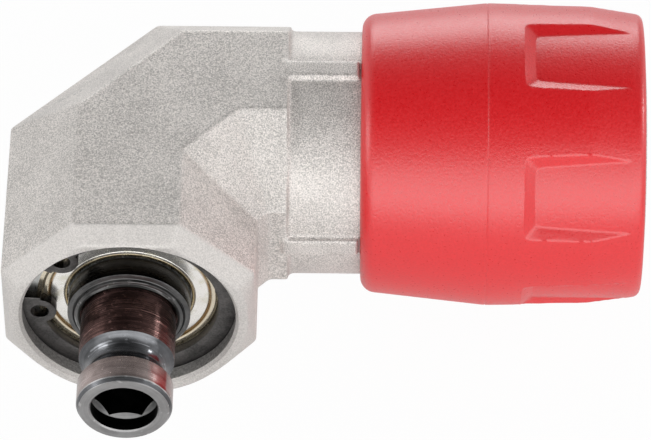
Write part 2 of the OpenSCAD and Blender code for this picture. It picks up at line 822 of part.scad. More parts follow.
// Cutter of one grip recess, facing the sleeve's own x axis
module grip_recess() {
  top_r = belly_r + 1;
  floor_half = grip_floor_r * tan(grip_floor_deg / 2);
  spread = belly_r * tan(grip_deg / 2) - floor_half;
  wall = spread * (top_r - grip_floor_r) / grip_depth;
  intersection() {
    rotate_extrude() polygon([
      [top_r, grip_at], [belly_r, grip_at], [grip_floor_r, grip_at + grip_ramp],
      [grip_floor_r, sleeve_len + 1], [far, sleeve_len + 1], [far, grip_at]
    ]);
    linear_extrude(far) polygon([
      [0, -floor_half], [grip_floor_r, -floor_half], [top_r, -floor_half - wall],
      [top_r, floor_half + wall], [grip_floor_r, floor_half], [0, floor_half]
    ]);
  }
}

module locking_sleeve() {
  color(red_plastic) along_shaft(sleeve_start) difference() {
    rotate_extrude() difference() {
      sleeve_outline();
      sleeve_hollow();
    }
    for (k = [0:grip_count - 1]) rotate([0, 0, 180 + k * 360 / grip_count]) grip_recess();
    translate([0, 0, cam_x - sleeve_start]) cam_key_set(seat_gap);
  }
}

// Dowels on the seam between sleeve and cam ring
module cam_key_set(grow = 0) {
  for (k = [0:pin_count - 1])
    rotate([0, 0, 180 + pin_pitch * k + twist]) translate([cam_r - cam_key_d / 4, 0, 0])
      cylinder(h = cam_w, r = cam_key_d / 2 + grow, $fn = 32);
}

// Pocket whose floor pushes one pin inwards as the sleeve turns
module cam_pocket(k) {
  steps = 12;
  first = -twist - cam_margin;
  span = twist + 2 * cam_margin;
  floor_line = [for (i = [0:steps])
    let (a = first + span * i / steps)
    -(pin_end_r + cam_gap + cam_slope * a) * [cos(a), sin(a)]];
  inner = [for (a = [cam_margin, first]) -(tail_r - 1) * [cos(a), sin(a)]];
  rotate([0, 0, pin_pitch * k]) linear_extrude(far, center = true) polygon(concat(floor_line, inner));
}

module cam_ring() {
  color(bright_steel) along_shaft(cam_x) difference() {
    tube(cam_r, tail_r + 2 * run_gap, cam_w);
    for (k = [0:pin_count - 1]) cam_pocket(k);
    cam_key_set(seat_gap);
  }
}

module cam_ring_keys() {
  color(phosphated) along_shaft(cam_x) cam_key_set();
}

module sleeve_end_ring() {
  color(dark_rubber) along_shaft(end_ring_x) tube(cam_r, tail_r + 3 * run_gap, end_ring_len);
}

// Pin with a bevelled outer end that follows the cam
module lock_pin(k) {
  end_flat = 0.5;
  bevel = pin_r - end_flat;
  tip_chamfer = 0.3;
  color(bright_steel) seated() at_pin(k) {
    translate([0, 0, pin_tip_r]) cylinder(h = tip_chamfer, r1 = pin_r - tip_chamfer, r2 = pin_r);
    translate([0, 0, pin_tip_r + tip_chamfer])
      cylinder(h = pin_end_r - pin_tip_r - tip_chamfer - bevel, r = pin_r);
    translate([0, 0, pin_end_r - bevel]) cylinder(h = bevel, r1 = pin_r, r2 = pin_r - bevel);
  }
}

// Drawing

gear_housing();
spindle_retaining_ring();
spindle_bearing_outer_ring();
spindle_bearing_shield();
spindle_rear_bush();
shaft_race_outer(shb_front_x);  // shaft_front_bearing_outer_ring
shaft_race_outer(shb_rear_x);  // shaft_rear_bearing_outer_ring
shaft_outer_spacer();
shaft_bore_circlip();
sleeve_retaining_ring();
sleeve_friction_ring();
output_spindle();
spindle_collar();
spindle_bearing_inner_ring();
bevel_gear();
gear_key();
gear_retaining_ring();
bit_magnet();
bit_spring_ring();
spindle_bearing_balls();
spindle_bearing_cage();
drive_shaft();
bevel_pinion();
pinion_pin();
shaft_race_inner(shb_front_x);  // shaft_front_bearing_inner_ring
shaft_race_inner(shb_rear_x);  // shaft_rear_bearing_inner_ring
shaft_inner_spacer();
shaft_circlip();
shaft_ball_set(shb_front_x);  // shaft_front_bearing_balls
shaft_cage(shb_front_x);  // shaft_front_bearing_cage
shaft_ball_set(shb_rear_x);  // shaft_rear_bearing_balls
shaft_cage(shb_rear_x);  // shaft_rear_bearing_cage
locking_sleeve();
cam_ring();
cam_ring_keys();
sleeve_end_ring();
lock_pin(0);  // lock_pin_1
lock_pin(1);  // lock_pin_2
lock_pin(2);  // lock_pin_3
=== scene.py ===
"""Looks of a right-angle drill attachment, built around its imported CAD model.

The CAD part is the fixed frame. Each class below dresses one sub-assembly: it builds the
pieces that the eye sees in finer form than the solids and gives them their finish. Lengths
are millimetres measured from the crossing of the two axes, and pieces are scaled to the
frame's metres when they are made.
"""

import json
import logging
import math
from dataclasses import dataclass, field
from enum import Enum, IntEnum
from typing import Callable, Iterable, Optional, Sequence

import bmesh
import bpy
from mathutils import Matrix, Vector


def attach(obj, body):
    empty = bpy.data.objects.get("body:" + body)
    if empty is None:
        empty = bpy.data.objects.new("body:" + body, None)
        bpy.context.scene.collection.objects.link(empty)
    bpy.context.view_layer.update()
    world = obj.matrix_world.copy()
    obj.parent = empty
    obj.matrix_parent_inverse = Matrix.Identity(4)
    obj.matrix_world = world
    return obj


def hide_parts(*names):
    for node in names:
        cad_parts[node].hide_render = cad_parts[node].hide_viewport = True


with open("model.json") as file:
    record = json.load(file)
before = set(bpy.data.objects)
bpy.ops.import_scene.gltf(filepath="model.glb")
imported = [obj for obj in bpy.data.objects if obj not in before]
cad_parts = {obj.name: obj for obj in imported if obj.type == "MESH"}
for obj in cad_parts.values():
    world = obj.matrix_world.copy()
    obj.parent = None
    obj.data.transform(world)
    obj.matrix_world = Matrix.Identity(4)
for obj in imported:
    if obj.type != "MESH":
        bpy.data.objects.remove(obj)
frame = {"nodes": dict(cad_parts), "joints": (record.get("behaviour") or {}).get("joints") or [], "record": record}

LOG = logging.getLogger("angle_head")
MM = 0.001
DRIFT_WAVES = 110.0
WHITE = (1.0, 1.0, 1.0, 1.0)
Point = tuple[float, float]
Triple = tuple[float, float, float]
Colour = Triple
BMesh = bmesh.types.BMesh
Material = bpy.types.Material
SceneObject = bpy.types.Object
Face = bpy.types.MeshPolygon
Socket = bpy.types.NodeSocket
Key = int | str
Inputs = dict[Key, object]


class Slot(str, Enum):
    """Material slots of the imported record."""

    CAST_ALLOY = "cast_alloy"
    RED_PLASTIC = "red_plastic"
    BURNISHED_STEEL = "burnished_steel"
    PHOSPHATED_STEEL = "phosphated_steel"
    BRIGHT_STEEL = "bright_steel"
    SHIELD_STEEL = "shield_steel"
    BRONZE = "bronze"
    BLACK_RUBBER = "black_rubber"
    BLACK_PLASTIC = "black_plastic"


class Axis(Enum):
    """The two axes that pieces are turned about, by their letters in the frame."""

    SPINDLE = "Y"
    SHAFT = "X"


class CastZone(IntEnum):
    """Finishes of the casting, in the order of its materials."""

    SKIN = 0
    BORE = 1
    # The groove takes near-black steel: painted shade in the bore's groove.
    GROOVE = 2
    RIM = 3


class SpindleZone(IntEnum):
    """Finishes of the spindle, in the order of its materials."""

    BODY = 0
    GROOVE = 1
    NOSE = 2
    FRONT = 3
    SOCKET = 4
    CONE = 5


# Frame

def joint_place(name: str) -> Vector:
    """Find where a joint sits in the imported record.

    Args:
        name: Joint name in the record.

    Returns:
        The joint's position in metres.
    """
    joint = next(j for j in frame["joints"] if j["name"] == name)
    return Vector(joint["pos_m"])


CROSSING = joint_place("spindle_spin")
TO_FRAME = Matrix.Translation(CROSSING) @ Matrix.Scale(MM, 4)


def axis_matrix(axis: Axis) -> Matrix:
    """Give the turn from a lathe's own frame, with z along the axis, to the crossing frame.

    Args:
        axis: Axis that the piece is turned about.

    Returns:
        Rotation that sends z to the axis.
    """
    if axis is Axis.SPINDLE:
        return Matrix.Rotation(math.radians(90.0), 4, "X")
    return Matrix.Rotation(math.radians(90.0), 4, "Y")


def spindle_polar(point: Vector) -> Point:
    """Measure a point of the frame from the spindle's axis.

    Args:
        point: Point in metres.

    Returns:
        Radius, and distance along the spindle from the crossing, in millimetres.
    """
    off = (point - CROSSING) / MM
    return math.hypot(off.x, off.z), -off.y


# Mesh making

def lathe(profile: Sequence[Point], steps: int, shape: Optional[Callable[[Vector], None]] = None,
          sectors: int = 6) -> BMesh:
    """Turn a closed profile about z, as equal sectors that are then merged.

    Args:
        profile: Points as radius and height in millimetres, in order round the section.
        steps: Number of facets round the axis.
        shape: Change that is made to each point of the first sector.
        sectors: Number of equal sectors.

    Returns:
        The closed mesh, with outward normals.
    """
    bm = bmesh.new()
    verts = [bm.verts.new((r, 0.0, h)) for r, h in profile]
    edges = [bm.edges.new((a, b)) for a, b in zip(verts, verts[1:] + verts[:1])]
    bmesh.ops.spin(
        bm, geom=verts + edges, cent=(0.0, 0.0, 0.0), axis=(0.0, 0.0, 1.0),
        angle=math.tau / sectors, steps=steps // sectors, use_merge=False, use_duplicate=False,
    )
    if shape is not None:
        for vert in bm.verts:
            shape(vert.co)
    first = bm.verts[:] + bm.edges[:] + bm.faces[:]
    for k in range(1, sectors):
        copy = bmesh.ops.duplicate(bm, geom=first)["geom"]
        bmesh.ops.rotate(
            bm, cent=(0.0, 0.0, 0.0), matrix=Matrix.Rotation(math.tau * k / sectors, 3, "Z"),
            verts=[v for v in copy if isinstance(v, bmesh.types.BMVert)],
        )
    clean(bm)
    return bm


def clean(bm: BMesh) -> None:
    """Merge doubles, drop what has no area and turn the normals outwards.

    Args:
        bm: Mesh in millimetres.
    """
    bmesh.ops.remove_doubles(bm, verts=bm.verts[:], dist=1e-5)
    bmesh.ops.dissolve_degenerate(bm, dist=1e-6, edges=bm.edges[:])
    bmesh.ops.recalc_face_normals(bm, faces=bm.faces[:])


def rounded(points: Sequence[Triple], segments: int = 5) -> list[Point]:
    """Round the corners of a closed profile.

    Args:
        points: Corners as radius, height and rounding; a rounding of 0 stays sharp.
        segments: Steps in each rounded corner.

    Returns:
        The profile with an arc in place of each rounded corner.
    """
    result: list[Point] = []
    count = len(points)
    for i, (x, y, rounding) in enumerate(points):
        corner = Vector((x, y))
        if rounding <= 0.0:
            result.append((x, y))
            continue
        before = Vector(points[i - 1][:2]) - corner
        after = Vector(points[(i + 1) % count][:2]) - corner
        half = before.angle(after) / 2.0
        reach = min(rounding / math.tan(half), before.length * 0.49, after.length * 0.49)
        start = corner + before.normalized() * reach
        end = corner + after.normalized() * reach
        for k in range(segments + 1):
            t = k / segments
            bend = (1 - t) ** 2 * start + 2 * t * (1 - t) * corner + t ** 2 * end
            result.append((bend.x, bend.y))
    return result


def convex_block(planes: Iterable[tuple[Vector, float]], size: float = 150.0) -> BMesh:
    """Cut a convex block from a cube.

    Args:
        planes: Outward normals with their distances from the crossing.
        size: Edge of the cube that is cut.

    Returns:
        The block between all planes.
    """
    bm = bmesh.new()
    bmesh.ops.create_cube(bm, size=size)
    for normal, distance in planes:
        unit = normal.normalized()
        cut = bmesh.ops.bisect_plane(
            bm, geom=bm.verts[:] + bm.edges[:] + bm.faces[:], dist=1e-6,
            plane_co=unit * distance, plane_no=unit, clear_outer=True,
        )
        rim = [e for e in cut["geom_cut"] if isinstance(e, bmesh.types.BMEdge)]
        if rim:
            bmesh.ops.holes_fill(bm, edges=rim, sides=0)
    clean(bm)
    return bm


def join_meshes(parts: Sequence[BMesh]) -> BMesh:
    """Put several meshes into one.

    Args:
        parts: Meshes in the same frame; they are freed.

    Returns:
        One mesh that holds them all.
    """
    whole = bmesh.new()
    for part in parts:
        scratch = bpy.data.meshes.new("scratch")
        part.to_mesh(scratch)
        part.free()
        whole.from_mesh(scratch)
        bpy.data.meshes.remove(scratch)
    return whole


def link_object(name: str, bm: BMesh) -> SceneObject:
    """Make an object from a mesh that is in the frame already.

    Args:
        name: Name of the object.
        bm: Mesh in metres; it is freed.

    Returns:
        The object, at the origin and unscaled.
    """
    mesh = bpy.data.meshes.new(name)
    bm.to_mesh(mesh)
    bm.free()
    obj = bpy.data.objects.new(name, mesh)
    bpy.context.scene.collection.objects.link(obj)
    return obj


def make_object(name: str, bm: BMesh, turn: Optional[Matrix] = None) -> SceneObject:
    """Make an object in the frame from a mesh in millimetres.

    Args:
        name: Name of the piece.
        bm: Mesh in millimetres; it is freed.
        turn: Rotation from the mesh's own frame to the crossing frame.

    Returns:
        The object, at the origin and unscaled.
    """
    bm.transform(TO_FRAME @ (turn or Matrix.Identity(4)))
    return link_object(name, bm)


def bake(obj: SceneObject) -> None:
    """Apply an object's modifiers to its mesh.

    Args:
        obj: Object whose evaluated mesh replaces its own.
    """
    bpy.context.view_layer.update()
    graph = bpy.context.evaluated_depsgraph_get()
    baked = bpy.data.meshes.new_from_object(obj.evaluated_get(graph))
    old = obj.data
    obj.modifiers.clear()
    obj.data = baked
    baked.name = obj.name
    baked.materials.clear()
    bpy.data.meshes.remove(old)


def carve(obj: SceneObject, cutters: Sequence[SceneObject]) -> None:
    """Cut solids out of an object and remove the cutters.

    Args:
        obj: Object that is cut.
        cutters: Closed objects.
    """
    for cutter in cutters:
        cut = obj.modifiers.new("cut", "BOOLEAN")
        cut.operation = "DIFFERENCE"
        cut.solver = "EXACT"
        cut.object = cutter
    bake(obj)
    for cutter in cutters:
        mesh = cutter.data
        bpy.data.objects.remove(cutter)
        bpy.data.meshes.remove(mesh)


def shade(obj: SceneObject, crease: float = 32.0) -> None:
    """Shade a piece smoothly, with its creases kept sharp.

    Args:
        obj: Piece to shade.
        crease: Angle in degrees above which an edge stays sharp.
    """
    bm = bmesh.new()
    bm.from_mesh(obj.data)
    limit = math.radians(crease)
    for face in bm.faces:
        face.smooth = True
    for edge in bm.edges:
        edge.smooth = not (edge.is_manifold and edge.calc_face_angle(0.0) > limit)
    bm.to_mesh(obj.data)
    bm.free()


def polish_copy(node: str, name: str, width: float, segments: int = 2) -> SceneObject:
    """Copy a CAD node and break its edges.

    Args:
        node: CAD node whose shape is right.
        name: Name of the new piece.
        width: Width of the edge break in millimetres.
        segments: Steps across the break.

    Returns:
        The new piece.
    """
    bm = bmesh.new()
    bm.from_mesh(frame["nodes"][node].data)
    bmesh.ops.remove_doubles(bm, verts=bm.verts[:], dist=1e-7)
    bmesh.ops.recalc_face_normals(bm, faces=bm.faces[:])
    bmesh.ops.dissolve_limit(
        bm, angle_limit=math.radians(1.0), verts=bm.verts[:], edges=bm.edges[:],
    )
    sharp = [e for e in bm.edges if e.is_manifold and e.calc_face_angle(0.0) > math.radians(35.0)]
    bmesh.ops.bevel(
        bm, geom=sharp, offset=width * MM, offset_type="OFFSET", segments=segments,
        profile=0.5, affect="EDGES", clamp_overlap=True, material=-1,
    )
    obj = link_object(name, bm)
    shade(obj, 40.0)
    return obj


# Finishes

class NodeTree:
    """Small helper that writes the nodes of a material or of the world."""

    def __init__(self, tree: bpy.types.NodeTree) -> None:
        """Start with an empty tree.

        Args:
            tree: Tree to write.
        """
        self.tree = tree
        tree.nodes.clear()

    def fill(self, node: bpy.types.Node, inputs: Inputs) -> None:
        """Link an output to each input of a node, or set its constant.

        Args:
            node: Node to fill.
            inputs: Outputs and constants by the input's name or place.
        """
        for key, value in inputs.items():
            if isinstance(value, Socket):
                self.tree.links.new(value, node.inputs[key])
            else:
                node.inputs[key].default_value = value

    def add(self, kind: str, output: Key, inputs: Inputs, **settings: object) -> Socket:
        """Add a node.

        Args:
            kind: Kind of shader node.
            output: Output that is used.
            inputs: Outputs and constants by the input's name or place.
            **settings: Settings of the node itself.

        Returns:
            The output.
        """
        node = self.tree.nodes.new(f"ShaderNode{kind}")
        for name, value in settings.items():
            setattr(node, name, value)
        self.fill(node, inputs)
        return node.outputs[output]

    def close(self, kind: str, surface: Socket) -> None:
        """Add the output node.

        Args:
            kind: Kind of output node.
            surface: Shader that it shows.
        """
        self.fill(self.tree.nodes.new(f"ShaderNode{kind}"), {"Surface": surface})

    def math(self, kind: str, first: object, second: object, third: float = 0.0) -> Socket:
        """Calculate with two or three values.

        Args:
            kind: Operation of Blender's math node.
            first: First value, a number or an output.
            second: Second value.
            third: Third value, where the operation has one.

        Returns:
            The result.
        """
        return self.add("Math", "Value", {0: first, 1: second, 2: third}, operation=kind)


class NodeGraph(NodeTree):
    """Material with one principled shader."""

    def __init__(self, name: str) -> None:
        """Start the material.

        Args:
            name: Name of the material.
        """
        self.material = bpy.data.materials.new(name)
        self.material.use_nodes = True
        super().__init__(self.material.node_tree)
        self.shader = self.tree.nodes.new("ShaderNodeBsdfPrincipled")
        self.close("OutputMaterial", self.shader.outputs["BSDF"])
        self.coords = self.add("TexCoord", "Object", {})

    def set(self, **values: object) -> None:
        """Set constants and outputs on the shader's own sockets.

        Args:
            **values: Socket names, with spaces as underscores, and their values.
        """
        self.fill(self.shader, {name.replace("_", " "): value for name, value in values.items()})

    def noise(self, scale: float, detail: float = 2.0, roughness: float = 0.5,
              vector: Optional[Socket] = None) -> Socket:
        """Add a noise pattern.

        Args:
            scale: Waves per metre of the coordinates.
            detail: Number of finer layers.
            roughness: Weight of the finer layers.
            vector: Coordinates, or the object's own.

        Returns:
            The pattern's value.
        """
        inputs = {"Scale": scale, "Detail": detail, "Roughness": roughness, "Vector": vector or self.coords}
        return self.add("TexNoise", "Fac", inputs)

    def blend(self, first: Socket, second: Socket, share: float) -> Socket:
        """Add two patterns by their shares.

        Args:
            first: First pattern.
            second: Second pattern.
            share: Share of the first one, from 0 to 1.

        Returns:
            The sum.
        """
        rest = self.math("MULTIPLY", second, 1.0 - share)
        return self.math("ADD", self.math("MULTIPLY", first, share), rest)

    def ramp(self, value: Socket, *stops: tuple[float, Colour]) -> Socket:
        """Turn a value into a colour.

        Args:
            value: Value from 0 to 1.
            *stops: Places and colours.

        Returns:
            The colour.
        """
        colour = self.add("ValToRGB", "Color", {"Fac": value})
        elements = colour.node.color_ramp.elements
        while len(elements) < len(stops):
            elements.new(0.5)
        for element, (place, shade_) in zip(elements, stops):
            element.position = place
            element.color = (*shade_, 1.0)
        return colour

    def spread(self, value: Socket, low: float, high: float,
               start: float = 0.0, end: float = 1.0) -> Socket:
        """Map a value to another range.

        Args:
            value: Value to map.
            low: Result at the start.
            high: Result at the end.
            start: Value that gives the low result.
            end: Value that gives the high result.

        Returns:
            The mapped value.
        """
        limits = {"From Min": start, "From Max": end, "To Min": low, "To Max": high}
        return self.add("MapRange", "Result", {"Value": value, **limits})

    def mix(self, factor: Socket, first: Socket,
            second: Colour) -> Socket:
        """Mix two colours.

        Args:
            factor: Share of the second colour.
            first: Output with the first colour.
            second: Second colour.

        Returns:
            The mixed colour.
        """
        return self.add("Mix", 2, {0: factor, 6: first, 7: (*second, 1.0)}, data_type="RGBA")

    def bump(self, height: Socket, strength: float, distance: float) -> Socket:
        """Add fine relief.

        Args:
            height: Relief value.
            strength: Strength of the relief.
            distance: Height of the relief in metres.

        Returns:
            The changed normal.
        """
        return self.add("Bump", "Normal", {"Height": height, "Strength": strength, "Distance": distance})

    def turned(self, axis: Axis, fineness: float, drift: float) -> Socket:
        """Give coordinates whose noise runs in rings round an axis.

        Args:
            axis: Axis of the rings.
            fineness: Rings per metre.
            drift: How quickly the rings change on their way round.

        Returns:
            The coordinates.
        """
        along = self.add("SeparateXYZ", axis.value, {"Vector": self.coords})
        return self.add("CombineXYZ", "Vector", {
            "X": self.math("MULTIPLY", self.radius(axis), fineness),
            "Y": self.math("MULTIPLY", along, fineness),
            "Z": self.math("MULTIPLY", self.noise(DRIFT_WAVES), drift),
        })

    def tangent(self, axis: Axis) -> Socket:
        """Give the direction of tool marks round an axis.

        Args:
            axis: Axis of the marks.

        Returns:
            The direction.
        """
        return self.add("Tangent", "Tangent", {}, direction_type="RADIAL", axis=axis.value)

    def radius(self, axis: Axis) -> Socket:
        """Measure the distance from one of the two axes.

        Args:
            axis: Axis to measure from.

        Returns:
            The distance in metres.
        """
        flat = (1.0, 0.0, 1.0) if axis is Axis.SPINDLE else (0.0, 1.0, 1.0)
        shift = [-place * factor for place, factor in zip(CROSSING, flat)]
        placed = self.add("Mapping", "Vector", {"Vector": self.coords, "Scale": flat, "Location": shift})
        return self.add("VectorMath", "Value", {0: placed}, operation="LENGTH")


@dataclass(frozen=True)
class CastAlloy:
    """Bead-blasted die casting."""

    name: str = "cast_alloy"
    dark: Colour = (0.38, 0.362, 0.345)
    light: Colour = (0.86, 0.818, 0.782)
    relief: float = 0.7
    grain: float = 6800.0

    def build(self) -> Material:
        """Write the material.

        Returns:
            The finished material.
        """
        g = NodeGraph(self.name)
        fine = g.noise(self.grain, 2.0, 0.65)
        tint = g.blend(fine, g.noise(160.0, 3.0, 0.6), 0.85)
        g.set(
            Base_Color=g.ramp(tint, (0.39, self.dark), (0.61, self.light)),
            Roughness=g.spread(fine, 0.4, 0.62, 0.3, 0.7),
            Normal=g.bump(g.noise(self.grain * 0.8, 3.0, 0.6), self.relief, 0.00006),
            Metallic=0.4,
        )
        return g.material


@dataclass(frozen=True)
class RedPlastic:
    """Moulded plastic with a fine spark-eroded texture."""

    deep: Colour = (0.65, 0.003, 0.007)
    pale: Colour = (0.71, 0.006, 0.011)
    grain: float = 3400.0

    def build(self) -> Material:
        """Write the material.

        Returns:
            The finished material.
        """
        g = NodeGraph("red_plastic")
        fine = g.noise(self.grain, 2.0, 0.6)
        g.set(
            Base_Color=g.ramp(fine, (0.35, self.deep), (0.65, self.pale)),
            Roughness=g.spread(fine, 0.27, 0.4, 0.3, 0.7),
            Normal=g.bump(fine, 0.6, 0.00005),
            Specular_IOR_Level=1.0,
        )
        return g.material


@dataclass(frozen=True)
class TurnedSteel:
    """Steel turned or ground round an axis, with tool marks and fine scratches."""

    name: str
    axis: Axis
    dark: Colour
    light: Colour
    smooth: float = 0.22
    rough: float = 0.4
    marks: float = 0.35
    worn: float = 1.6
    brushed: float = 0.0

    def build(self) -> Material:
        """Write the material.

        Returns:
            The finished material.
        """
        g = NodeGraph(self.name)
        lines = g.noise(1.0, 3.0, 0.7, g.turned(self.axis, 5200.0, 3.0))
        cloud = g.noise(420.0, 4.0, 0.6)
        scratch = g.noise(1.0, 1.0, 0.5, g.turned(self.axis, 2400.0, 26.0))
        base = g.ramp(g.blend(lines, cloud, 0.5), (0.38, self.dark), (0.64, self.light))
        bare = tuple(min(c * self.worn, 1.0) for c in self.light)
        g.set(
            Base_Color=g.mix(g.spread(scratch, 0.0, 1.0, 0.66, 0.72), base, bare),
            Roughness=g.spread(g.math("ADD", lines, cloud), self.smooth, self.rough, 0.75, 1.25),
            Normal=g.bump(lines, self.marks, 0.00001),
            Tangent=g.tangent(self.axis),
            Metallic=1.0,
            Anisotropic=self.brushed,
            Anisotropic_Rotation=0.25,
        )
        return g.material


@dataclass(frozen=True)
class PhosphatedSteel:
    """Dark phosphated spring steel."""

    dark: Colour = (0.045, 0.043, 0.042)
    light: Colour = (0.15, 0.142, 0.138)

    def build(self) -> Material:
        """Write the material.

        Returns:
            The finished material.
        """
        g = NodeGraph("phosphated_steel")
        fine = g.noise(5200.0, 3.0, 0.6)
        tint = g.blend(fine, g.noise(600.0, 3.0, 0.6), 0.5)
        g.set(
            Base_Color=g.ramp(tint, (0.35, self.dark), (0.68, self.light)),
            Roughness=g.spread(fine, 0.3, 0.5),
            Normal=g.bump(fine, 0.3, 0.00002),
            Metallic=0.75,
        )
        return g.material


@dataclass(frozen=True)
class ShieldPlate:
    """Pressed and plated bearing shield, gold towards its rolled rim."""

    plate: Colour = (0.98, 0.962, 0.92)
    tarnish: Colour = (0.72, 0.68, 0.5)
    line: Colour = (0.34, 0.22, 0.1)
    rim: Colour = (0.78, 0.7, 0.55)
    # Darker gold-brown at the inner lip: painted shade, so the rounded lip catches less light.
    lip: Colour = (0.4, 0.31, 0.17)
    from_r: float = 0.0070
    to_r: float = 0.0105

    def build(self) -> Material:
        """Write the material.

        Returns:
            The finished material.
        """
        g = NodeGraph("shield_steel")
        across = g.spread(g.radius(Axis.SPINDLE), 0.0, 1.0, self.from_r, self.to_r)
        bands = g.ramp(
            across, (0.07, self.lip), (0.11, self.plate), (0.5, self.plate), (0.565, self.line),
            (0.61, self.line), (0.65, self.rim),
        )
        cloud = g.noise(520.0, 4.0, 0.65)
        g.set(
            Base_Color=g.mix(g.spread(cloud, 0.0, 0.5, 0.5, 0.68), bands, self.tarnish),
            Roughness=g.spread(cloud, 0.16, 0.3, 0.35, 0.65),
            Normal=g.bump(g.noise(2600.0, 2.0), 0.1, 0.00002),
            Metallic=0.9,
        )
        return g.material


@dataclass(frozen=True)
class GrainedMatter:
    """Sintered metal, rubber or plain plastic with a fine grain."""

    name: str
    dark: Colour
    light: Colour
    grain: float
    smooth: float
    rough: float
    metal: float = 0.0

    def build(self) -> Material:
        """Write the material.

        Returns:
            The finished material.
        """
        g = NodeGraph(self.name)
        fine = g.noise(self.grain, 3.0, 0.6)
        g.set(
            Base_Color=g.ramp(fine, (0.33, self.dark), (0.7, self.light)),
            Roughness=g.spread(fine, self.smooth, self.rough),
            Normal=g.bump(fine, 0.3, 0.00004),
            Metallic=self.metal,
        )
        return g.material


def paint(obj: SceneObject, finishes: Sequence[Material], zone: Callable[[Face], int]) -> None:
    """Give an object several finishes and choose one for each face.

    Args:
        obj: Object to paint.
        finishes: Materials in their order.
        zone: Rule that gives the place of a face's finish.
    """
    for material in finishes:
        obj.data.materials.append(material)
    for face in obj.data.polygons:
        face.material_index = zone(face)


class Palette:
    """All finishes, by slot."""

    def __init__(self) -> None:
        """Build every finish once."""
        steel = ((0.42, 0.42, 0.41), (0.72, 0.72, 0.70))
        self.by_slot: dict[Slot, Material] = {
            Slot.CAST_ALLOY: CastAlloy().build(),
            Slot.RED_PLASTIC: RedPlastic().build(),
            Slot.BURNISHED_STEEL: TurnedSteel(
                "burnished_steel", Axis.SPINDLE, (0.045, 0.024, 0.022), (0.2, 0.116, 0.106), 0.2, 0.32,
                0.25, 1.8, 0.97,
            ).build(),
            Slot.PHOSPHATED_STEEL: PhosphatedSteel().build(),
            Slot.BRIGHT_STEEL: TurnedSteel("bright_steel", Axis.SHAFT, *steel).build(),
            Slot.SHIELD_STEEL: ShieldPlate().build(),
            Slot.BRONZE: GrainedMatter(
                "bronze", (0.30, 0.19, 0.08), (0.52, 0.35, 0.16), 3000.0, 0.35, 0.55, 1.0,
            ).build(),
            Slot.BLACK_RUBBER: GrainedMatter(
                "black_rubber", (0.012, 0.012, 0.012), (0.03, 0.03, 0.03), 4000.0, 0.6, 0.8,
            ).build(),
            Slot.BLACK_PLASTIC: GrainedMatter(
                "black_plastic", (0.016, 0.016, 0.017), (0.045, 0.045, 0.046), 3200.0, 0.4, 0.58,
            ).build(),
        }
        self.polished = TurnedSteel(
            "polished_steel", Axis.SPINDLE, (0.075, 0.077, 0.081), (0.18, 0.184, 0.195), 0.14, 0.26, 0.2,
            1.6, 0.6,
        ).build()
        self.nose = TurnedSteel(
            "worn_nose", Axis.SPINDLE, (0.25, 0.2, 0.19), (0.56, 0.47, 0.45), 0.16, 0.28,
            0.3, 1.6, 0.93,
        ).build()
        self.nose_face = TurnedSteel(
            "nose_face", Axis.SPINDLE, (0.26, 0.255, 0.255), (0.4, 0.395, 0.395), 0.28, 0.42, 0.3, 1.2,
        ).build()
        # Near-black steel inside the hex socket and its counterbore: painted shade, as the deep recess lies in
        # shade.
        self.socket = TurnedSteel(
            "socket_painted_shade", Axis.SPINDLE, (0.008, 0.008, 0.008), (0.02, 0.019, 0.019), 0.3, 0.45,
        ).build()
        # Near-black steel: the collar's wall, and painted shade in the casting's bore groove and on the circlip's
        # ends and gap, where shade falls.
        self.black_and_painted_shade = TurnedSteel(
            "black_wall_and_painted_shade", Axis.SPINDLE, (0.006, 0.0055, 0.005), (0.022, 0.02, 0.018), 0.2, 0.34,
        ).build()
        self.satin = TurnedSteel(
            "satin_face", Axis.SPINDLE, (0.075, 0.075, 0.076), (0.18, 0.178, 0.176), 0.26, 0.4,
        ).build()
        self.rim = CastAlloy("cast_rim", (0.47, 0.45, 0.431), (0.66, 0.631, 0.605), 0.35).build()
        self.machined = GrainedMatter(
            "machined_bore", (0.26, 0.254, 0.246), (0.6, 0.59, 0.575), 3600.0, 0.35, 0.55, 0.45,
        ).build()

    def dress_node(self, node: str, slot: Slot) -> None:
        """Give a CAD node its finish.

        Args:
            node: Name of the node.
            slot: Slot that the record gives it.
        """
        obj = frame["nodes"][node]
        obj.data.materials.clear()
        obj.data.materials.append(self.by_slot[slot])

    def dress_piece(self, obj: SceneObject, slot: Slot, body: str, node: str) -> None:
        """Give a new piece its finish and its body, and hide the CAD node that it replaces.

        Args:
            obj: New piece.
            slot: Slot whose finish it takes.
            body: Body that it rides on.
            node: CAD node that it replaces.
        """
        if not obj.data.materials:
            obj.data.materials.append(self.by_slot[slot])
        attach(obj, body)
        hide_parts(node)
        LOG.info("%s: %d faces", obj.name, len(obj.data.polygons))


# Sub-assemblies

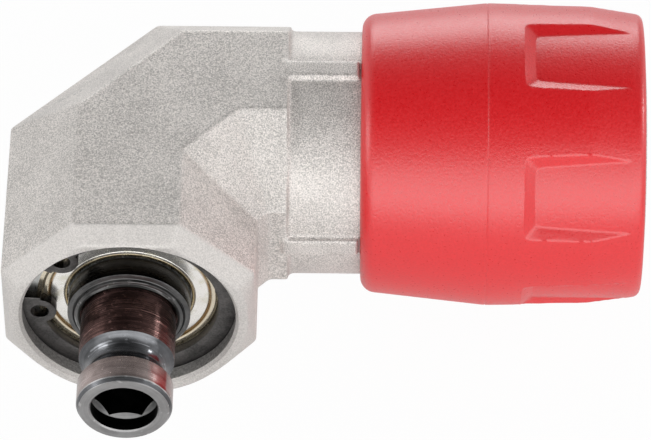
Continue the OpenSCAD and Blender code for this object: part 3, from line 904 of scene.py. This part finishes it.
@dataclass
class HousingCasting:
    """Octagonal elbow with its face rim, ribbed neck and tail."""

    palette: Palette
    flat_r: float = 14.2
    face_reach: float = 23.2
    rim_reach: float = 25.1
    rim_r: float = 13.35
    rim_flat: float = 12.35
    rim_flats: tuple[float, ...] = (-45.0, 0.0, 45.0)
    rim_step_deg: float = 1.875
    arm_reach: float = 17.6
    elbow_outer: float = 0.35
    elbow_inner: float = 12.7
    neck_r: float = 13.9
    rib_r: float = 14.55
    rib_w: float = 2.4
    rib_end: float = 25.5
    rib_root: float = 9.0
    neck_root: float = 14.0
    split: float = 29.0
    step: float = 33.0
    tail_r: float = 12.4
    mouth: float = 58.1
    bore_r: float = 12.01
    groove_r: float = 12.61
    groove_start: float = 21.8
    groove_end: float = 23.15
    mouth_edge: float = 0.4
    bush_r: float = 4.01
    bush_reach: float = 6.2
    gear_room_r: float = 11.0
    gear_room_start: float = 3.4
    bearing_seat: float = 15.8
    shaft_room_r: float = 8.6
    shaft_room_start: float = 5.6
    shaft_seat: float = 14.0
    shaft_bore_r: float = 9.51
    clip_r: float = 10.1
    clip_start: float = 30.0
    clip_end: float = 31.35
    socket_r: float = 10.0
    socket_depth: float = 16.0
    pin_place: float = 10.5
    pin_hole_r: float = 1.55
    voxel: float = 0.2
    rounds: int = 8
    kept: float = 0.3

    def __post_init__(self) -> None:
        """Work out what follows from the driving sizes."""
        self.half_side = self.flat_r * math.tan(math.radians(22.5))

    def bevelled(self, degrees: float, edge: float) -> list[tuple[Vector, float]]:
        """Give the planes of a long prism with one bevelled side.

        Args:
            degrees: Direction that the side faces, about z.
            edge: Distance from the crossing to the bevel, on the top flat.

        Returns:
            Plane normals and distances.
        """
        out = Vector((math.cos(math.radians(degrees)), math.sin(math.radians(degrees)), 0.0))
        up = Vector((0.0, 0.0, 1.0))
        slope = (edge + self.flat_r) / math.sqrt(2.0)
        flat = edge + self.flat_r - self.half_side
        return [(out, flat), (out + up, slope), (out - up, slope)]

    def elbow(self) -> list[BMesh]:
        """Build the two legs and the gusset between them.

        Returns:
            Overlapping convex blocks.
        """
        common = self.bevelled(180.0, self.half_side) + self.bevelled(90.0, self.half_side)
        common += self.bevelled(135.0, self.elbow_outer)
        common += [(Vector((0, 0, 1)), self.flat_r), (Vector((0, 0, -1)), self.flat_r)]
        common += [(Vector((1, 0, 0)), self.arm_reach), (Vector((0, -1, 0)), self.face_reach)]
        sides = ((0.0, self.half_side), (-90.0, self.half_side), (-45.0, self.elbow_inner))
        return [convex_block(common + self.bevelled(*side)) for side in sides]

    def face_rim(self) -> BMesh:
        """Build the rim, which runs from the leg's octagon to a round front.

        Returns:
            A convex block.
        """
        bm = bmesh.new()
        corner = self.flat_r / math.cos(math.radians(22.5))
        for k in range(8):
            turn = math.radians(22.5 + 45.0 * k)
            for reach in (self.face_reach - 3.0, self.face_reach):
                bm.verts.new((corner * math.sin(turn), -reach, corner * math.cos(turn)))
        for k in range(round(360.0 / self.rim_step_deg)):
            turn = math.radians(self.rim_step_deg * k)
            offs = (turn - math.radians(a) for a in self.rim_flats)
            near = min(abs((off + math.pi) % math.tau - math.pi) for off in offs)
            radius = min(self.rim_r, self.rim_flat / math.cos(near)) if near < 1.0 else self.rim_r
            bm.verts.new((radius * math.sin(turn), -self.rim_reach, radius * math.cos(turn)))
        bmesh.ops.convex_hull(bm, input=bm.verts[:])
        clean(bm)
        return bm

    def neck(self) -> list[BMesh]:
        """Build the round neck and its ribs.

        Returns:
            Overlapping blocks.
        """
        turn = axis_matrix(Axis.SHAFT)
        root = self.neck_root
        core = lathe([(0, root), (self.neck_r, root), (self.neck_r, self.split), (0, self.split)], 192)
        core.transform(turn)
        blocks = [core]
        for k in range(4):
            rib = bmesh.new()
            bmesh.ops.create_cube(rib, size=1.0)
            length = self.rib_end - self.arm_reach + 0.6
            shape = Matrix.Diagonal((length, self.rib_w, self.rib_r - self.rib_root, 1.0))
            place = Matrix.Translation((self.rib_end - length / 2, 0, (self.rib_r + self.rib_root) / 2))
            rib.transform(Matrix.Rotation(math.radians(90.0 * k), 4, "X") @ place @ shape)
            blocks.append(rib)
        return blocks

    def spindle_cutter(self) -> SceneObject:
        """Build the solid that cuts the bores along the spindle.

        Returns:
            The cutter.
        """
        mouth = self.rim_reach
        profile = [
            (0, -self.bush_reach), (self.bush_r, -self.bush_reach), (self.bush_r, self.gear_room_start),
            (self.gear_room_r, self.gear_room_start), (self.gear_room_r, self.bearing_seat),
            (self.bore_r, self.bearing_seat), (self.bore_r, self.groove_start),
            (self.groove_r, self.groove_start), (self.groove_r, self.groove_end),
            (self.bore_r, self.groove_end),
            (self.bore_r, mouth - self.mouth_edge), (self.bore_r + self.mouth_edge, mouth + 0.05),
            (self.bore_r + self.mouth_edge, mouth + 9), (0, mouth + 9),
        ]
        return make_object("spindle_cutter", lathe(profile, 256), axis_matrix(Axis.SPINDLE))

    def shaft_cutter(self) -> SceneObject:
        """Build the solid that cuts the bores along the shaft.

        Returns:
            The cutter.
        """
        bore = self.shaft_bore_r
        profile = [
            (0, self.shaft_room_start), (self.shaft_room_r, self.shaft_room_start),
            (self.shaft_room_r, self.shaft_seat), (bore, self.shaft_seat), (bore, self.clip_start),
            (self.clip_r, self.clip_start), (self.clip_r, self.clip_end), (bore, self.clip_end),
            (bore, self.mouth), (0, self.mouth),
        ]
        return make_object("shaft_cutter", lathe(profile, 192), axis_matrix(Axis.SHAFT))

    def zone(self, face: Face) -> int:
        """Tell which finish a face of the casting takes.

        Args:
            face: Face of the carved casting.

        Returns:
            Place of the finish.
        """
        r, s = spindle_polar(face.center)
        slack = 0.005
        # Faces in the bore's groove take near-black steel, painted shade where the groove lies in shadow.
        if self.groove_start - slack < s < self.groove_end + slack and r < self.groove_r + 0.05:
            return CastZone.GROOVE
        if s > 0.0 and r < self.bore_r + 0.02:
            return CastZone.BORE
        if s > self.face_reach - 0.7 and face.normal.y < -0.35:
            return CastZone.RIM
        return CastZone.SKIN

    def build(self) -> None:
        """Build and dress the casting and its tail."""
        casting = make_object("housing_casting", join_meshes(self.elbow() + [self.face_rim()] + self.neck()))
        remesh = casting.modifiers.new("cast", "REMESH")
        remesh.mode = "VOXEL"
        remesh.voxel_size = self.voxel * MM
        relax = casting.modifiers.new("round", "SMOOTH")
        relax.factor = 0.5
        relax.iterations = self.rounds
        bake(casting)
        carve(casting, [self.spindle_cutter(), self.shaft_cutter()])
        thin = casting.modifiers.new("thin", "DECIMATE")
        thin.ratio = self.kept
        bake(casting)
        shade(casting)
        cast = self.palette.by_slot[Slot.CAST_ALLOY]
        paint(casting, (cast, self.palette.machined, self.palette.black_and_painted_shade, self.palette.rim), self.zone)
        self.palette.dress_piece(casting, Slot.CAST_ALLOY, "housing", "gear_housing")
        self.build_tail()

    def build_tail(self) -> None:
        """Build the turned tail inside the sleeve, with the drill's socket and the pin holes."""
        bore, socket, chamfer = self.shaft_bore_r, self.socket_r, 0.4
        start, floor = self.split - 0.5, self.mouth - self.socket_depth
        corners = [
            (bore, start, 0), (self.neck_r, start, 0), (self.neck_r, self.step, 0.3),
            (self.tail_r, self.step, 0.3), (self.tail_r, self.mouth, chamfer), (socket, self.mouth, chamfer),
            (socket, floor, 0), (bore, floor, 0.2), (bore, self.clip_end, 0), (self.clip_r, self.clip_end, 0),
            (self.clip_r, self.clip_start, 0), (bore, self.clip_start, 0),
        ]
        tail = make_object("housing_tail", lathe(rounded(corners), 192), axis_matrix(Axis.SHAFT))
        drills = []
        for k in range(3):
            drill = bmesh.new()
            bmesh.ops.create_cone(
                drill, cap_ends=True, segments=48, depth=20.0,
                radius1=self.pin_hole_r, radius2=self.pin_hole_r,
            )
            turn = Matrix.Rotation(math.radians(120.0 * k), 4, "X")
            place = Matrix.Translation((self.mouth - self.pin_place, 0, 12.0))
            drills.append(make_object("drill", drill, turn @ place))
        carve(tail, drills)
        shade(tail)
        self.palette.dress_piece(tail, Slot.CAST_ALLOY, "housing", "gear_housing")


@dataclass
class LockingSleeve:
    """Moulded sleeve with six grip recesses."""

    palette: Palette
    start: float = 25.8
    end: float = 57.87
    front_r: float = 15.9
    front_round: float = 1.6
    belly_x: float = 40.1
    belly_r: float = 17.35
    shoulder_x: float = 51.9
    shoulder_r: float = 17.1
    rear_r: float = 16.15
    rear_round: float = 0.8
    grip_start: float = 44.04
    grip_ramp: float = 1.4
    grip_lead: float = 0.6
    grip_depth: float = 0.97
    grip_turn_deg: float = 1.2
    floor_half_deg: float = 12.45
    floor_spread_deg: float = 0.238
    wall_deg: float = 4.9
    grips: int = 6
    blend: float = 0.18
    seam_depth: float = 0.05
    seam_half: float = 0.11
    inside_r: float = 15.4
    rear_room_r: float = 15.21
    rear_room_start: float = 44.1
    cam_room_r: float = 14.4
    web_r: float = 12.45
    web_start: float = 33.15
    web_end: float = 35.15
    neck_room_r: float = 13.95
    front_break: float = 0.25
    steps: int = 576
    rings: int = 120

    def outer_radius(self, x: float) -> float:
        """Give the radius of the sleeve without its grips.

        Args:
            x: Distance from the crossing.

        Returns:
            Radius in millimetres.
        """
        knots = [
            (self.start, self.front_r), (self.start + self.front_round, self.front_r + 0.12),
            (self.belly_x, self.belly_r), (self.shoulder_x, self.shoulder_r), (self.end, self.rear_r),
        ]
        for (x0, r0), (x1, r1) in zip(knots, knots[1:]):
            if x <= x1:
                return r0 + (r1 - r0) * (x - x0) / (x1 - x0)
        return self.rear_r

    def surface(self, x: float) -> float:
        """Give the finished radius, with rounded ends and the fine seam at the belly.

        Args:
            x: Distance from the crossing.

        Returns:
            Radius in millimetres.
        """
        soft = sum(self.outer_radius(x + d) for d in (-0.6, -0.3, 0.0, 0.3, 0.6)) / 5.0
        lead = self.start + self.front_round - x
        if lead > 0.0:
            soft -= self.front_round - math.sqrt(max(self.front_round ** 2 - lead ** 2, 0.0))
        tail = x - (self.end - self.rear_round)
        if tail > 0.0:
            soft -= self.rear_round - math.sqrt(max(self.rear_round ** 2 - tail ** 2, 0.0))
        seam = abs(x - self.belly_x)
        if seam < self.seam_half:
            soft -= self.seam_depth * (1.0 - seam / self.seam_half)
        return soft

    def soft_max(self, first: float, second: float) -> float:
        """Give the larger of two values, with a soft change from one to the other.

        Args:
            first: First value.
            second: Second value.

        Returns:
            The larger value, or a little more near the change.
        """
        apart = first - second
        return 0.5 * (first + second + math.sqrt(apart * apart + 4.0 * self.blend ** 2))

    def recess(self, x: float, angle: float) -> float:
        """Give the radius of the nearest grip's cut.

        Args:
            x: Distance from the crossing.
            angle: Angle about the sleeve's axis, from the top.

        Returns:
            Radius that the cut leaves.
        """
        pitch = math.tau / self.grips
        turned = angle - math.radians(self.grip_turn_deg)
        off = abs((turned + pitch / 2.0) % pitch - pitch / 2.0)
        floor = self.belly_r - self.grip_depth
        foot = self.grip_start + self.grip_ramp
        half_floor = math.radians(self.floor_half_deg + self.floor_spread_deg * (x - foot))
        side = floor + (off - half_floor) / math.radians(self.wall_deg) * self.grip_depth
        front = floor + (foot - x) / self.grip_ramp * self.grip_depth
        return max(floor, self.soft_max(side, front))

    def radius(self, x: float, angle: float) -> float:
        """Give the radius with the grips cut in, their edges softly rounded.

        Args:
            x: Distance from the crossing.
            angle: Angle about the sleeve's axis, from the top.

        Returns:
            Radius in millimetres.
        """
        whole = self.surface(x)
        gap = whole - self.recess(x, angle)
        cut = self.soft_max(gap, 0.0) - self.blend ** 2 / (abs(gap) + self.blend)
        return whole - max(cut, 0.0) if gap > -4.0 * self.blend else whole

    def cut_grip(self, point: Vector) -> None:
        """Move a point of the outside to where the grips leave it.

        Args:
            point: Point in the lathe's frame; it is changed in place.
        """
        r = math.hypot(point.x, point.y)
        if r > self.inside_r and point.z > self.grip_start - self.grip_lead:
            factor = self.radius(point.z, math.atan2(point.y, -point.x)) / r
            point.x *= factor
            point.y *= factor

    def stations(self) -> list[float]:
        """List the places of the rings along the outside.

        Returns:
            Distances from the crossing, closer together at the ends, ramp and seam.
        """
        places: list[float] = []
        for k in range(9):
            places.append(self.start + self.front_round * (1.0 - math.cos(math.radians(90.0 * k / 8))))
        for k in range(7):
            places.append(self.end - self.rear_round * (1.0 - math.cos(math.radians(90.0 * k / 6))))
        for k in range(5):
            places.append(self.belly_x + (k - 2) * self.seam_half / 2.0)
        lead, span = self.grip_start - self.grip_lead, self.grip_ramp + 2.0 * self.grip_lead
        for k in range(25):
            places.append(lead + span * k / 24)
        first, last = self.start + self.front_round, self.end - self.rear_round
        for k in range(1, self.rings):
            x = first + (last - first) * k / self.rings
            if all(abs(x - p) > 0.06 for p in places):
                places.append(x)
        return sorted(set(round(p, 4) for p in places))

    def build(self) -> None:
        """Build and dress the sleeve."""
        stations = self.stations()
        inside = [
            (self.rear_room_r, self.end), (self.rear_room_r, self.rear_room_start),
            (self.cam_room_r, self.rear_room_start), (self.cam_room_r, self.web_end),
            (self.web_r, self.web_end), (self.web_r, self.web_start), (self.neck_room_r, self.web_start),
            (self.neck_room_r, self.start + self.front_break),
            (self.neck_room_r + self.front_break, self.start),
        ]
        profile = [(self.surface(x), x) for x in stations] + inside
        bm = lathe(profile, self.steps, self.cut_grip, self.grips)
        sleeve = make_object("sleeve_shell", bm, axis_matrix(Axis.SHAFT))
        shade(sleeve, 40.0)
        self.palette.dress_piece(sleeve, Slot.RED_PLASTIC, "sleeve", "locking_sleeve")


@dataclass
class OutputSpindle:
    """Turned spindle with a ball groove and a hex socket, and the collar behind it."""

    palette: Palette
    nose_r: float = 5.35
    reach: float = 38.2
    groove_mid: float = 33.0
    groove_w: float = 3.6
    groove_depth: float = 1.15
    hex_af: float = 6.35
    hex_floor: float = 25.2
    entry_r: float = 3.75
    cone_r: float = 2.975
    cone_start: float = 1.76
    cone_end: float = 2.33
    tip_edge: float = 0.5
    tip_line: float = 0.1
    rear_section: tuple[Triple, ...] = (
        (0, -6.05, 0), (2.5, -6.05, 0.3), (2.5, 3.69, 0), (4.0, 3.69, 0.2), (4.0, 15.8, 0),
        (5.99, 15.8, 0.2), (5.99, 21.8, 0), (5.65, 21.8, 0), (5.65, 24.5, 0),
    )
    nose_start: float = 24.5
    collar_bore_r: float = 5.66
    collar_r: float = 6.9
    collar_front_start: float = 24.4
    steps: int = 192

    def groove(self) -> list[Point]:
        """Give the arc of the ball groove.

        Returns:
            Points from its inner to its outer end.
        """
        half = self.groove_w / 2.0
        radius = (half ** 2 + self.groove_depth ** 2) / (2.0 * self.groove_depth)
        centre = self.nose_r - self.groove_depth + radius
        spread = math.asin(half / radius)
        count = 20
        arc = []
        for k in range(count + 1):
            a = spread * (2.0 * k / count - 1.0)
            arc.append((centre - radius * math.cos(a), self.groove_mid + radius * math.sin(a)))
        return arc

    def profile(self) -> list[Point]:
        """Give the spindle's section from its rear journal to its nose.

        Returns:
            Points as radius and distance from the crossing.
        """
        neck = [(self.nose_r, self.nose_start, 0), (self.nose_r, self.nose_start + 1.5, 0)]
        rear = rounded([*self.rear_section, *neck])
        edge = 0.1
        start, *inner, end = self.groove()
        shoulder_in = [(self.nose_r, start[1] - edge), (self.nose_r - 0.02, start[1] - 0.02)]
        shoulder_out = [(self.nose_r - 0.02, end[1] + 0.02), (self.nose_r, end[1] + edge)]
        tip = [
            (self.nose_r, self.reach - self.tip_edge - self.tip_line),
            (self.nose_r - 0.06, self.reach - self.tip_edge),
            (self.nose_r - 0.32, self.reach - self.tip_line),
            (self.nose_r - 0.4, self.reach), (0, self.reach),
        ]
        return rear + shoulder_in + inner + shoulder_out + tip

    def socket_cutters(self) -> list[SceneObject]:
        """Build the solids that cut the hex socket.

        Returns:
            Hex and entry cutters.
        """
        turn = axis_matrix(Axis.SPINDLE)
        hexagon = bmesh.new()
        corner = self.hex_af / 2.0 / math.cos(math.radians(30.0))
        depth = self.reach - self.hex_floor + 5.0
        bmesh.ops.create_cone(hexagon, cap_ends=True, segments=6, radius1=corner, radius2=corner, depth=depth)
        place = Matrix.Translation((0, 0, self.hex_floor + depth / 2.0))
        hexagon.transform(place @ Matrix.Rotation(math.radians(30.0), 4, "Z"))
        entry = [
            (0, self.reach - self.cone_end), (self.cone_r, self.reach - self.cone_end),
            (self.entry_r, self.reach - self.cone_start),
            (self.entry_r, self.reach - 0.15), (self.entry_r + 0.2, self.reach + 0.05),
            (self.entry_r + 0.2, self.reach + 4.0), (0, self.reach + 4.0),
        ]
        return [
            make_object("hex_cutter", hexagon, turn),
            make_object("entry_cutter", lathe(entry, self.steps), turn),
        ]

    def zone(self, face: Face) -> int:
        """Tell which finish a face of the spindle takes.

        Args:
            face: Face of the carved spindle.

        Returns:
            Place of the finish.
        """
        r, s = spindle_polar(face.center)
        depth = self.reach - s
        # The socket's walls take near-black steel, painted shade in the recess; its lead-in cone takes satin
        # steel.
        if r < self.entry_r + 0.02 and 0.1 < depth < self.reach - self.hex_floor + 0.1:
            return SpindleZone.CONE if self.cone_start < depth < self.cone_end else SpindleZone.SOCKET
        # The tip's chamfer takes the darker groove steel: a real polished band, darkened as painted shade for the
        # dark band it shows between its bright edges.
        if depth < self.tip_edge + self.tip_line:
            return SpindleZone.GROOVE if self.tip_line < depth < self.tip_edge else SpindleZone.FRONT
        if abs(s - self.groove_mid) < self.groove_w / 2.0:
            return SpindleZone.GROOVE
        return SpindleZone.NOSE if s > self.groove_mid else SpindleZone.BODY

    def build(self) -> None:
        """Build and dress the spindle and its collar."""
        spindle = make_object("spindle_body", lathe(self.profile(), self.steps), axis_matrix(Axis.SPINDLE))
        carve(spindle, self.socket_cutters())
        finishes = (
            self.palette.by_slot[Slot.BURNISHED_STEEL], self.palette.polished, self.palette.nose,
            self.palette.nose_face, self.palette.socket, self.palette.satin,
        )
        paint(spindle, finishes, self.zone)
        shade(spindle, 28.0)
        self.palette.dress_piece(spindle, Slot.BURNISHED_STEEL, "spindle", "output_spindle")
        self.build_collar()

    def collar_front(self, face: Face) -> int:
        """Tell whether a face belongs to the collar's satin front.

        Args:
            face: Face of the collar.

        Returns:
            Place of the finish: 1 on the front, 0 elsewhere.
        """
        r, s = spindle_polar(face.center)
        return int(s > self.collar_front_start and r > self.collar_bore_r + 0.05)

    def build_collar(self) -> None:
        """Build the stepped collar, with a near-black wall and a satin front."""
        bore, wall = self.collar_bore_r, self.collar_r
        corners = [
            (bore, 21.8, 0), (wall - 0.12, 21.8, 0.05), (wall - 0.12, 22.2, 0), (wall, 22.25, 0.05),
            (wall, 24.46, 0.1), (6.34, 24.53, 0), (6.26, 24.42, 0), (6.18, 24.5, 0), (6.1, 24.84, 0.05),
            (5.76, 24.86, 0.04), (5.66, 25.16, 0.05), (5.48, 25.16, 0.04), (5.48, 24.52, 0), (bore, 24.52, 0),
        ]
        collar = make_object("collar_body", lathe(rounded(corners, 3), 192), axis_matrix(Axis.SPINDLE))
        paint(collar, (self.palette.black_and_painted_shade, self.palette.satin), self.collar_front)
        shade(collar, 24.0)
        self.palette.dress_piece(collar, Slot.BURNISHED_STEEL, "spindle", "spindle_collar")


@dataclass
class BearingFace:
    """What shows of the spindle bearing: shield, rings and circlip."""

    palette: Palette
    notches: tuple[float, ...] = (-23.0, 95.0, 214.0)
    notch_size: Triple = (0.8, 0.2, 0.5)
    notch_place: Triple = (9.62, 0.0, 21.75)
    plate_section: tuple[Triple, ...] = (
        (7.02, 21.2, 0), (7.02, 21.76, 0.1), (7.26, 21.78, 0.1), (7.42, 21.52, 0.1),
        (8.85, 21.5, 0.12), (9.05, 21.42, 0.06),
        (9.15, 21.62, 0.1), (9.35, 21.74, 0.15), (9.7, 21.74, 0.2), (9.9, 21.5, 0.1), (10.42, 21.45, 0.1),
        (10.42, 21.13, 0), (9.9, 21.13, 0), (9.2, 21.2, 0),
    )
    step_section: tuple[Point, ...] = ((6.9, 21.05), (8.4, 21.05), (8.4, 22.4), (6.9, 22.4))

    def clip_side(self, face: Face) -> int:
        """Tell whether a face is one of the circlip's ends.

        Args:
            face: Face of the circlip.

        Returns:
            Place of the finish: 1 on a face that looks sideways, 0 elsewhere.
        """
        outward = (face.center - CROSSING) * Vector((1, 0, 1))
        sideways = abs(face.normal.dot(outward.normalized())) < 0.75
        return int(sideways and abs(face.normal.y) < 0.5)

    def build(self) -> None:
        """Build and dress the shield, the inner ring and the circlip."""
        turn = axis_matrix(Axis.SPINDLE)
        shield = make_object("shield_plate", lathe(rounded(self.plate_section, 6), 256), turn)
        cutters = []
        for angle in self.notches:
            notch = bmesh.new()
            bmesh.ops.create_cube(notch, size=1.0)
            shape = Matrix.Diagonal((*self.notch_size, 1.0))
            place = Matrix.Translation(self.notch_place)
            notch.transform(Matrix.Rotation(math.radians(-angle), 4, "Z") @ place @ shape)
            cutters.append(make_object("notch", notch, turn))
        carve(shield, cutters)
        shade(shield)
        self.palette.dress_piece(shield, Slot.SHIELD_STEEL, "housing", "spindle_bearing_shield")
        ring = polish_copy("spindle_bearing_inner_ring", "inner_ring_stepped", 0.1)
        carve(ring, [make_object("step_cutter", lathe(self.step_section, 192), turn)])
        shade(ring)
        self.palette.dress_piece(ring, Slot.BRIGHT_STEEL, "spindle", "spindle_bearing_inner_ring")
        clip = polish_copy("spindle_retaining_ring", "circlip", 0.22, 3)
        dark = self.palette.by_slot[Slot.PHOSPHATED_STEEL]
        # Faces that look sideways, the ring's ends and the walls of its gap, take near-black steel: painted shade.
        paint(clip, (dark, self.palette.black_and_painted_shade), self.clip_side)
        self.palette.dress_piece(clip, Slot.PHOSPHATED_STEEL, "housing", "spindle_retaining_ring")


@dataclass
class DrillSide:
    """Pieces that show in the mouth of the sleeve."""

    palette: Palette
    breaks: dict[str, tuple[Slot, str, float]] = field(default_factory=lambda: {
        "sleeve_end_ring": (Slot.BLACK_PLASTIC, "sleeve", 0.25),
        "drive_shaft": (Slot.BRIGHT_STEEL, "shaft", 0.12),
        "shaft_bore_circlip": (Slot.PHOSPHATED_STEEL, "housing", 0.15),
        "shaft_circlip": (Slot.PHOSPHATED_STEEL, "shaft", 0.12),
        "lock_pin_1": (Slot.BRIGHT_STEEL, "pin_1", 0.12),
        "lock_pin_2": (Slot.BRIGHT_STEEL, "pin_2", 0.12),
        "lock_pin_3": (Slot.BRIGHT_STEEL, "pin_3", 0.12),
    })

    def build(self) -> None:
        """Build and dress the pieces with their edges broken."""
        for node, (slot, body, width) in self.breaks.items():
            piece = polish_copy(node, f"{node}_piece", width)
            self.palette.dress_piece(piece, slot, body, node)


@dataclass
class HiddenWorks:
    """CAD nodes that stay as they are, with their finishes."""

    palette: Palette

    def build(self) -> None:
        """Give every CAD node the finish of its slot."""
        for part in frame["record"]["subparts"]:
            self.palette.dress_node(part["node"], Slot(part["material_slot"]))


# Picture

@dataclass(frozen=True)
class PhotoCamera:
    """Camera at the photograph's place, fitted to it."""

    elevation: float = 49.355
    azimuth: float = 1.167
    roll: float = -0.324
    lens: float = 300.53
    distance: float = 625.628
    pan_x: float = 21.665
    pan_y: float = -7.971

    def build(self) -> None:
        """Make the camera and set it as the scene's own."""
        el, az, roll = (math.radians(v) for v in (self.elevation, self.azimuth, self.roll))
        back = Vector((math.sin(az) * math.cos(el), -math.cos(az) * math.cos(el), math.sin(el)))
        right = Vector((0, 0, 1)).cross(back).normalized()
        up = back.cross(right)
        across = math.cos(roll) * right + math.sin(roll) * up
        upward = math.cos(roll) * up - math.sin(roll) * right
        place = across * self.pan_x + upward * self.pan_y + back * self.distance
        data = bpy.data.cameras.new("photo_camera")
        data.lens = self.lens
        data.sensor_width = 36.0
        data.clip_start = 0.01
        camera = bpy.data.objects.new("photo_camera", data)
        turn = Matrix((across, upward, back)).transposed().to_4x4()
        camera.matrix_world = Matrix.Translation(CROSSING + place * MM) @ turn
        bpy.context.scene.collection.objects.link(camera)
        bpy.context.scene.camera = camera


@dataclass(frozen=True)
class Softbox:
    """One soft light, aimed at the object."""

    name: str
    place: Triple
    size: Point
    power: float
    aim: Triple = (0.022, -0.006, 0.0)

    def build(self) -> None:
        """Make the light."""
        data = bpy.data.lights.new(self.name, "AREA")
        data.shape = "RECTANGLE"
        data.size, data.size_y = self.size
        data.energy = self.power
        light = bpy.data.objects.new(self.name, data)
        light.visible_camera = False
        target = CROSSING + Vector(self.aim)
        place = target + Vector(self.place)
        turn = (target - place).to_track_quat("-Z", "Y").to_matrix().to_4x4()
        light.matrix_world = Matrix.Translation(place) @ turn
        bpy.context.scene.collection.objects.link(light)


@dataclass
class Studio:
    """Pale floor, soft lights and a bright surround."""

    floor_z: float = -0.0174
    floor_size: float = 6.0
    shadow_share: float = 0.03
    mirrored_share: float = 0.45
    board: tuple[float, ...] = (0.85, 0.85, 0.85, 1.0)
    lean: float = -0.5
    surround: tuple[Point, ...] = (
        (0.0, 1.1), (0.2, 1.1), (0.5, 0.82), (0.7, 0.46), (0.8, 0.3), (0.9, 0.15), (1.0, 0.07),
    )
    lights: tuple[Softbox, ...] = (
        Softbox("front_box", (0.1, -0.6, 0.2), (1.1, 0.6), 2.1),
        Softbox("left_box", (-0.6, -0.1, 0.3), (0.3, 0.3), 0.6),
        Softbox("right_box", (0.62, 0.12, 0.25), (0.12, 0.12), 0.65),
        Softbox("back_box", (-0.02, 0.62, 0.18), (0.5, 0.36), 1.6),
    )

    def build(self) -> None:
        """Make floor, lights and surround."""
        for light in self.lights:
            light.build()
        self.build_floor()
        self.build_surround()
        bpy.context.scene.view_settings.view_transform = "Standard"

    def build_surround(self) -> None:
        """Make the surround, bright round the horizon and in front, dim overhead."""
        world = bpy.data.worlds.new("surround")
        world.use_nodes = True
        g = NodeTree(world.node_tree)
        split = g.add("SeparateXYZ", "X", {"Vector": g.add("TexCoord", "Generated", {})}).node.outputs
        level = g.add("FloatCurve", "Value", {"Value": split["Z"]})
        mapping = level.node.mapping
        points = mapping.curves[0].points
        top = max(strength for _, strength in self.surround)
        while len(points) < len(self.surround):
            points.new(0.5, 0.5)
        for point, (height, strength) in zip(points, self.surround):
            point.location = (height, strength / top)
            point.handle_type = "VECTOR"
        mapping.update()
        lean = g.math("MULTIPLY_ADD", split["Y"], self.lean * top, top)
        glow = {"Color": WHITE, "Strength": g.math("MULTIPLY", level, lean)}
        g.close("OutputWorld", g.add("Background", "Background", glow))
        bpy.context.scene.world = world

    def build_floor(self) -> None:
        """Make the floor, which the camera sees nearly white and the object as plain pale board."""
        bm = bmesh.new()
        bmesh.ops.create_grid(bm, x_segments=1, y_segments=1, size=self.floor_size / 2.0)
        floor = link_object("floor", bm)
        floor.location.z = self.floor_z
        material = bpy.data.materials.new("pale_floor")
        material.use_nodes = True
        g = NodeTree(material.node_tree)
        rays = g.add("LightPath", 0, {}).node.outputs
        straight = g.math("MAXIMUM", rays["Is Camera Ray"], rays["Is Transmission Ray"])
        mirrored = g.math("MULTIPLY", rays["Is Glossy Ray"], self.mirrored_share)
        share = g.math("MULTIPLY", g.math("MAXIMUM", straight, mirrored), 1.0 - self.shadow_share)
        board = g.add("BsdfDiffuse", "BSDF", {"Color": self.board})
        white = g.add("Emission", "Emission", {"Color": WHITE})
        g.close("OutputMaterial", g.add("MixShader", "Shader", {"Fac": share, 1: board, 2: white}))
        floor.data.materials.append(material)


def main() -> None:
    """Build the looks in order."""
    logging.basicConfig(level=logging.INFO, format="%(name)s: %(message)s")
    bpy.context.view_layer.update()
    PhotoCamera().build()
    Studio().build()
    palette = Palette()
    HiddenWorks(palette).build()
    HousingCasting(palette).build()
    LockingSleeve(palette).build()
    OutputSpindle(palette).build()
    BearingFace(palette).build()
    DrillSide(palette).build()


if __name__ == "__main__":
    main()
